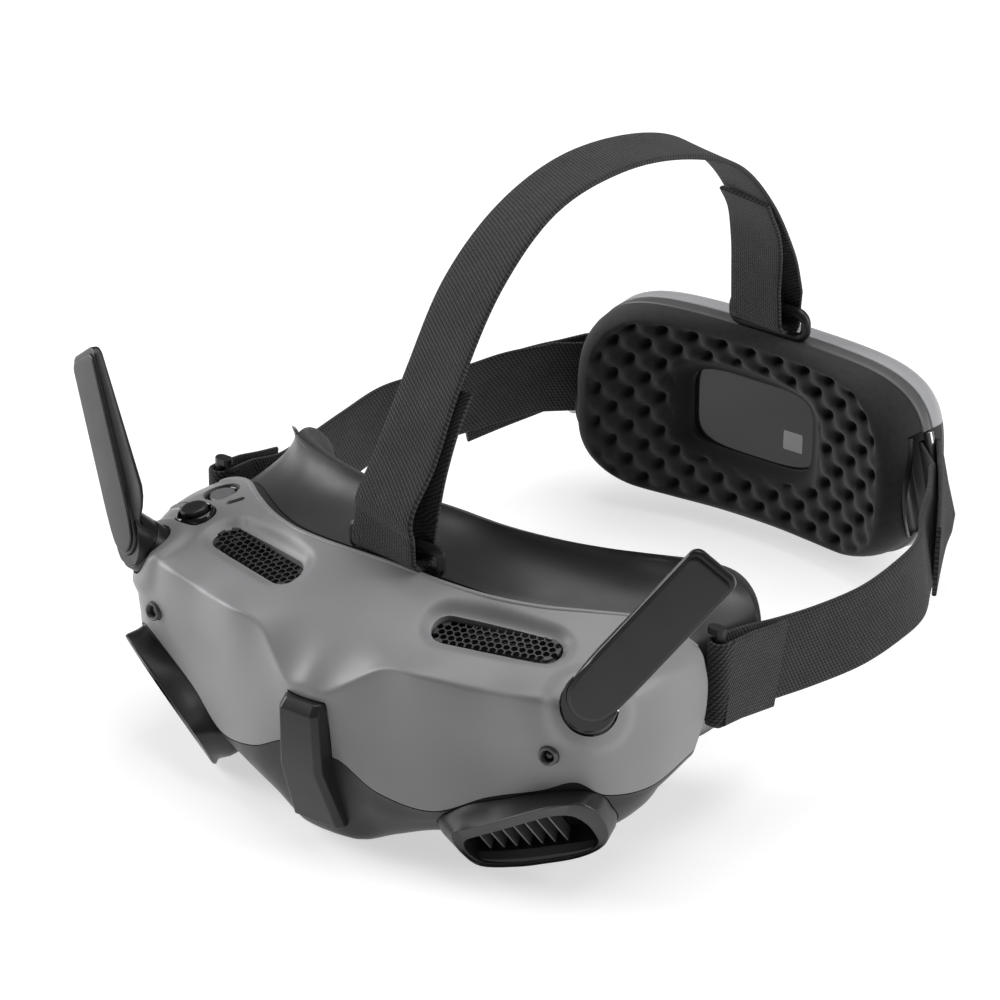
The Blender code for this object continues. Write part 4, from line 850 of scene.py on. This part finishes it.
def ribbon(name, path, across, width=1.0, slant=0.0, **rest):
    """Strap along a path. Slant turns its last end, as where it was cut or has been pulled askew."""
    path, across = np.asarray(path, float), np.asarray(across, float)
    tangent = np.gradient(path, axis=0)
    across = across - tangent * ((across * tangent).sum(1) / (tangent**2).sum(1))[:, None]
    across /= np.linalg.norm(across, axis=1, keepdims=True)
    normal = np.cross(across, tangent)
    normal /= np.linalg.norm(normal, axis=1, keepdims=True)
    far = np.r_[0, np.cumsum(np.linalg.norm(np.diff(path, axis=0), axis=1))]
    section = band()
    width = np.broadcast_to(width, len(path))
    unit = tangent / np.linalg.norm(tangent, axis=1, keepdims=True)
    skew = slant * smoothstep(np.arange(len(path)), len(path) - 12, len(path) - 1)
    loops = [[p + (a + t * c) * u * k + m * v for u, v in section]
             for p, a, m, k, t, c in zip(path, across, normal, width, unit, skew)]
    uv = [(s, u) for s in far for u, v in section]
    return loft(name, loops, STRAP, uv=uv, smooth=50, slot="webbing", **rest)


def wire_loop(name, y, z, left, right, height, corner, radius, material, **rest):
    """Rounded rectangular ring of wire that stands across the object."""
    outline = rounded(right - left, height, corner)
    line = [np.array([(left + right) / 2 + u, y, z + v]) for u, v in outline]
    ahead = [line[(i + 1) % len(line)] - line[i - 1] for i in range(len(line))]
    out = [np.array([t[2], 0, -t[0]]) / np.linalg.norm(t) for t in ahead]
    return tube(name, line, out, [np.array([0, 1.0, 0])] * len(line), radius, 16, material, ring=True, **rest)


def wrap(centre, radius, start, stop, steps=14):
    """Points round a bar, from one angle to another in degrees."""
    turns = [math.radians(start + (stop - start) * i / steps) for i in range(steps + 1)]
    return [(centre[0] + radius * math.cos(a), centre[1] + radius * math.sin(a)) for a in turns]


def fold(x, y, z, radius):
    """Turn of the top strap round a bar across the object, rolling as it goes."""
    return [(x, *at, roll) for at, roll in zip(wrap((y, z), radius, 0, -180), np.linspace(-10, 10, 15))]


# Middle of the top strap, knots (x, y, z, roll in degrees), from the front bar to the rear one. It
# hangs loose round both.
ARCH = [(-0.6, -13.6, 81, 14), (-0.9, -13.4, 87.5, 17), (-0.5, -4.8, 98, 17), (-1.4, 9, 115.7, 21),
        (-2, 27.5, 135.9, 20.3), (-2, 51.5, 148.7, 19.1), (-1.1, 80, 152.1, 9.7), (-0.1, 109.3, 147.5, 1.4),
        (0.7, 136.7, 136.8, -6.7), (0.6, 157.5, 119, -15), (1.2, 170, 99, -17), (1.4, 175.0, 83, -12)]
front_return = spline([(1.2, 10.6, 113.6, -20), (1.0, 3.6, 105, -17), (0.8, -2.2, 95, -13),
                       (0.2, -4.7, 84, -12)], 6)
rear_return = spline([(0.0, 167.4, 84, 14), (0.2, 166.9, 94, 17), (1.2, 163.6, 105, 17),
                      (1.4, 157.6, 115.4, 15)], 6)
line = np.concatenate([front_return, fold(-1.4, -9.0, 74.6, 4.2), spline(ARCH, 8),
                       fold(0.7, 171.0, 73.8, 4.0), rear_return])
path, roll = line[:, :3], np.radians(line[:, 3])[:, None]
low, behind = 1 - smoothstep(path[:, 2], 76, 100), path[:, 1] > 60  # the rings draw it in there
returning = behind * (np.arange(len(path)) >= len(path) - len(rear_return) - 7)
gathered = 1 - 0.04 * low * ~behind - 0.08 * behind * low - returning * (0.08 + 0.06 * low)
tangent = np.gradient(path, axis=0)
tangent /= np.linalg.norm(tangent, axis=1, keepdims=True)
sideways = np.array([1.0, 0, 0])
across = sideways * np.cos(roll) + np.cross(sideways, tangent) * np.sin(roll)
ribbon("head_strap", path, across, width=gathered, slant=0.3, replaces=["top_strap"])

wire_loop("rear_ring", 171.2, 72.2, -9.6, 15.4, 8.0, 3.2, 1.5, DARK, replaces=["rear_strap_loop"], smooth=60,
          slot="trim_dark")

# Side strap: knots (x, y, z, share of the box's lean).
SIDE_TURN = 2.77  # radius of the bar, a gap, and half the strap
BOX_ALONG, BOX_LEAN = (0.86, 0.5, 0), Vector((-0.30, 0.10, 0.95)).normalized()
box_at = frame_at((61.6, 171.6, 35.4), BOX_ALONG, BOX_LEAN)
side_run = spline([(82.4, 31, 44.5, 0), (83.0, 45.2, 40.6, 0), (86.6, 65.1, 37.7, 0.0),
                   (89.9, 85.2, 36.2, 0.1), (90.7, 104, 36.5, 0.25), (87.8, 119.4, 35.4, 0.4),
                   (81.3, 132.6, 35.3, 0.6), (75.2, 146.4, 36.0, 0.5), (68.4, 160.4, 35.8, 0.8)], 8)
tab = spline([(86.7, 47, 40.4, 0), (86.7, 39, 42.4, 0), (86.9, 31, 44.6, 0)], 6)
tail = spline([(67.6, 166.4, 35.4, 0.8), (71.6, 158.4, 34.8, 0.4), (77.4, 147.2, 33.4, 0.1),
               (83.2, 136.0, 31.4, -0.1)], 6)
goggle_turn = [(x, y, 46.4, 0) for x, y in wrap((84.2, 21.0), SIDE_TURN, 0, -180)]
box_turn = [(*box_at(a, b, 0), 1.0) for a, b in wrap((0, 0), SIDE_TURN, 175, -5)]
line = np.concatenate([tab, goggle_turn, side_run, box_turn, tail])
up, lean_in = np.array([0, 0, 1.0]), np.array(BOX_LEAN)
both("side_band", lambda name: ribbon(name, line[:, :3], up + (lean_in - up) * line[:, 3:],
                                      replaces=["side_strap_left"]))

# ---- battery box
BOX_HALF = [(0, 0, 67.6), (14, 0, 67.5), (27, 0, 67.0), (37, 0, 66.0), (44.6, 0, 64.2), (50.8, 0, 61),
            (55, 0, 56.4), (57.4, 0, 50.6), (58.5, 0, 43), (58.6, 0, 34), (58.4, 0, 25), (57.2, 0, 17),
            (53.8, 0, 10), (47.4, 0, 4.6), (37, 0, 1.4), (24, 0, 0.1), (10, 0, 0), (0, 0, 0)]
box_outline = closed_loop(BOX_HALF, 181)
BOX_CENTRE, BOX_SIZE, BOX_BACK = np.array([0, 0, 33.8]), np.array([58.6, 1, 33.8]), 203


def box_loop(y, inset=0.0, lift=0.0, bow=0.0):
    """The box outline moved in by inset, at depth y. Lift raises its underside, and bow brings its
    sides forward."""
    loop = BOX_CENTRE + (box_outline - BOX_CENTRE) * (BOX_SIZE - inset) / BOX_SIZE
    loop[:, 1] = y - bow * (loop[:, 0] / 58) ** 2
    loop[:, 2] = np.maximum(loop[:, 2] + lift * (1 - loop[:, 2] / 67.6) ** 3, 0.0)
    return loop


DOME = [(175.7, 0.3, 2.8), (177, 0.1, 2.4), (179.5, 0.25, 1.2), (183, 1.5, -1.4), (187.5, 4.8, -3.0),
        (192, 10.0, -2.0), (196.5, 15.2, 0), (200.4, 19.6, 0), (202.4, 22.2, 0), (BOX_BACK, 24.4, 0)]
rear = loft("box_back", [box_loop(*knot) for knot in (
    (177.4, 2.0, 2.8), (175.6, 2.0, 2.8), (175.45, 1.4, 2.8), (175.5, 0.6, 2.8), *spline(DOME, 4),
    (BOX_BACK, 25), (BOX_BACK, 26), (BOX_BACK, 32))], REAR, replaces=["battery_rear_shell"], smooth=50,
            slot="rear_grey")
front_frame = loft("box_frame", [box_loop(*knot) for knot in (
    (175.0, 2.6, 3.0), (175.1, 0.9, 3.0), (174.8, 0.35, 3.0), (174.2, 0.15, 3.1), (171.0, 0.15, 3.8),
    (170.5, 0.35, 4.0), (170.3, 0.9, 4.2), (170.4, 2.8, 4.4), (167.8, 3.6, 5.6), (168.0, 6, 5.6),
    (171.3, 12, 3))], BAND, replaces=["battery_front_frame"], smooth=50, slot="trim_dark")

# Pad: a smooth rim that rolls back at the sides, an egg-crate field, and a funnel down to the
# window plate. Both outlines are matched by direction from the middle.
N_PAD = 540
ANGLES = np.linspace(0, 2 * math.pi, N_PAD + 1)[:-1]
PAD_MIDDLE, PAD_BACK, WINDOW_Z = np.array([0.0, 37.2]), 169.7, 38.4


def by_angle(loop):
    """Outline (x, z) sampled at even angles about the middle of the pad."""
    off = loop - PAD_MIDDLE
    theta = np.arctan2(off[:, 1], off[:, 0]) % (2 * math.pi)
    order = np.argsort(theta)
    return PAD_MIDDLE + np.stack(
        [np.interp(ANGLES, theta[order], off[order, k], period=2 * math.pi) for k in (0, 1)], 1)


def oval(w, h, power):
    c, s = np.cos(ANGLES), np.sin(ANGLES)
    return by_angle(np.stack([w / 2 * np.sign(c) * np.abs(c) ** power,
                              WINDOW_Z + h / 2 * np.sign(s) * np.abs(s) ** power], 1))


def at_depth(outline, y, scale=1.0, middle=WINDOW_Z):
    return np.stack([outline[:, 0] * scale, np.full(N_PAD, y), middle + (outline[:, 1] - middle) * scale], 1)


outer, inner = by_angle(box_loop(0, 0.3, 5.6)[:, [0, 2]]), oval(43, 26, 0.42)
span = np.linalg.norm(outer - inner, axis=1)
loops = [at_depth(outer, PAD_BACK, 0.94, PAD_MIDDLE[1]), at_depth(outer, PAD_BACK)]
# Painted shade per loop: how far the pad's colour is darkened, deepest in the crate's hollows and down the
# funnel to the window.
shade = [np.zeros(N_PAD), np.zeros(N_PAD)]
for s in np.concatenate([np.linspace(0, 0.1, 10)[:-1], np.linspace(0.1, 1, 110)]):
    flat = outer + (inner - outer) * s
    edge, hole = span * s, span * (1 - s)  # distance from the pad's edge and from the window's
    x, z = flat[:, 0], flat[:, 1]
    near_side = smoothstep(np.abs(x), 36, 54)
    face = 164.6 - 9.6 * (np.abs(x) / 50) ** 2.2
    roll = np.clip(edge / (3.6 + 6.4 * near_side), 0, 1)
    y = 169.4 + (face - 169.4) * np.sqrt(1 - (1 - roll) ** 2.2)
    y = y + 4.4 * (1 - smoothstep(hole, 0.0, 7.0))
    crate = np.cos(2 * math.pi * x / 9.8) * np.cos(2 * math.pi * (z - 34) / 11.2)
    field = smoothstep(edge, 2.6 + 4.6 * near_side, 5.8 + 5.2 * near_side) * smoothstep(hole, 3.4, 6.4)
    y = y + field * (0.9 - 1.1 * crate + 1.5 * smoothstep(-crate, 0.25, 1.0))
    loops.append(np.stack([x, y, z], 1))
    shade.append(np.maximum(field * smoothstep(-crate, -0.25, 0.75), 0.8 * (1 - smoothstep(hole, 0.0, 6.5))))
loops += [at_depth(inner, 170.6), at_depth(inner, 170.9, 1.04)]
shade += [np.full(N_PAD, 0.8), np.full(N_PAD, 0.8)]
# The painted shade goes into the first part of the UV map.
pad = loft("head_pad", loops, PAD, ring=True, uv=[(deep, 0.0) for deep in 1000 * np.concatenate(shade)],
           replaces=["battery_pad"], smooth=70, slot="foam")

# Bays at the box's sides, where the side straps go round their rings.
bay_at = frame_at(box_at(2.2, 0.9, 0), BOX_ALONG, BOX_LEAN)
for piece, width, grow in ((rear, 0.4, 0.0), (front_frame, 0.3, 0.0), (pad, 0.8, 0.6)):
    bay = block("bay", bay_at, rounded(26.6 + grow, 18.0 + grow, 4.0), -15.6 - grow, 15.6 + grow)
    cut(piece, bay, mirror(bay, "bay_right"))
    bevel(piece, width, 2, 50)


def bay_lining(name):
    """Dark wall round the inside of a strap bay, trimmed to the outside of the box."""
    outside = loft("outside", [box_loop(*knot) for knot in (
        (158, 0.3, 3, 8), (166, 0.3, 3, 3), (170, 0.3, 3, 0), (177, 0.5, 2.5), (180, 1.2, 1), (183, 2.2),
        (186, 4.4))], BAND, body=None)
    wide, narrow = rounded(26.5, 17.9, 4.0), rounded(25.3, 16.7, 3.5)
    wall = prism(name, bay_at, [(wide, -15.5), (wide, 15.5), (narrow, 15.5), (narrow, -15.5)], DARK,
                 ring=True, smooth=40, slot="trim_dark")
    return cut(wall, outside, operation="INTERSECT")


both("bay_lining", bay_lining)
both("box_ring", lambda name: lathe(name, box_at, [(1.35, -15.2), (1.5, -15), (1.5, 15), (1.35, 15.2)],
                                    STEEL, n=24, replaces=["battery_ring_left"], slot="steel"))

# Openings for the power button, the charge lights and the charging socket, and the window in the pad.
power_at, lights_at, socket_at = (
    frame_at((x, BOX_BACK, z), (1, 0, 0), (0, 1, 0)) for x, z in ((20, 33.8), (1, 36.8), (-18, 33.8)))
cut(rear, block("power_hole", power_at, circle(4.6), -7, 6),
    block("light_hole", lights_at, rounded(13.4, 2.6, 1.2), -7, 4),
    block("socket_hole", socket_at, rounded(10.6, 4.6, 2.2), -7, 4))
prism("window_plate", frame_at((0, 170.4, WINDOW_Z), (1, 0, 0), (0, -1, 0)), [
    (rounded(44.4, 26.4, 5), -0.4), (rounded(44.4, 26.4, 5), 0.5), (rounded(43.6, 25.6, 4.8), 0.75),
    (rounded(42.8, 24.8, 4.6), 0.8)], GLOSS, replaces=["battery_window"], smooth=30, slot="gloss_black")
block("window_label", frame_at((13.4, 169.62, 34.6), (1, 0, 0), (0, -1, 0)), rounded(6.6, 6.2, 0.6),
      -0.05, 0.05, LABEL, "goggles")

# ---- CAD pieces shown as they are
shown = {
    DARK: ["front_strap_hook", "strap_anchor_left", "strap_anchor_right"],
    FACE: ["lens_barrel_left", "lens_barrel_right", "fan_housing", "fan_rotor"],
    GLASS: ["eyepiece_lens_left", "eyepiece_lens_right", "status_light", "charge_lights"],
    GLOSS: ["display_panel_left", "display_panel_right"],
    BUTTON: ["back_button", "power_button", "ipd_slider_left", "ipd_slider_right"],
    BOARD: ["main_board", "battery_board"], ALLOY: ["heat_sink"],
    CELL: ["battery_cell_left", "battery_cell_right"],
    STEEL: ["charge_socket", "joystick_gimbal", "joystick_stem"],
}
for material, names in shown.items():
    for name in names:
        node = frame["nodes"][name]
        node.data.materials.clear()
        node.data.materials.append(material)
        for polygon in node.data.polygons:
            polygon.use_smooth = True
        node.data.set_sharp_from_angle(angle=math.radians(35))
        bevel(node, 0.25, 2, 40)

# ---- studio
world = bpy.data.worlds.new("studio")
bpy.context.scene.world = world
world.use_nodes = True
colour, strength = world.node_tree.nodes["Background"].inputs[:2]
colour.default_value, strength.default_value = (1, 1, 1, 1), 0.1
bpy.context.scene.view_settings.view_transform = "Standard"

floor_mesh = bpy.data.meshes.new("floor")
floor_mesh.from_pydata([(-6, -6, 0), (6, -6, 0), (6, 6, 0), (-6, 6, 0)], [], [(0, 1, 2, 3)])
floor = link("floor", floor_mesh)
white = Shader("floor_white")
white.set(Base_Color=rgb(0.54), Roughness=0.75, Emission_Color=rgb(1.0), Emission_Strength=0.57)
floor_mesh.materials.append(white.material)


def softbox(name, place, aim, size, power):
    """Rectangular lamp; places in metres, power in watts."""
    lamp = bpy.data.lights.new(name, "AREA")
    lamp.shape, lamp.size, lamp.size_y, lamp.energy = "RECTANGLE", size[0], size[1], power
    obj = link(name, lamp)
    obj.location = place
    obj.rotation_euler = (Vector(aim) - Vector(place)).to_track_quat("-Z", "Y").to_euler()


softbox("overhead", (0.05, 0.25, 1.25), (0, 0.05, 0), (1.3, 1.1), 12.5)
softbox("left_box", (-1.15, -0.45, 0.55), (0, 0, 0.06), (0.7, 1.0), 16.5)
softbox("right_box", (1.0, 0.35, 0.5), (0, 0, 0.05), (0.4, 0.9), 7.5)

# Camera: its direction round the goggles, its height and a slight tilt.
azimuth, height, tilt = (math.radians(angle) for angle in (35.223, 27.871, 0.387))
right = Vector((math.cos(azimuth), math.sin(azimuth), 0))
upward = Vector((-math.sin(azimuth) * math.sin(height), math.cos(azimuth) * math.sin(height),
                 math.cos(height)))
toward = Vector((math.sin(azimuth) * math.cos(height), -math.cos(azimuth) * math.cos(height),
                 math.sin(height)))
right, upward = (right * math.cos(tilt) + upward * math.sin(tilt),
                 upward * math.cos(tilt) - right * math.sin(tilt))
lens = bpy.data.cameras.new("camera")
lens.lens, lens.sensor_width = 180, 36
camera = link("camera", lens)
camera.matrix_world = Matrix.Translation((0.70202, -0.95586 - Y_SHIFT / 1000, 0.71075)) @ Matrix(
    (right, upward, toward)).transposed().to_4x4()
bpy.context.scene.camera = camera

bpy.context.view_layer.update()
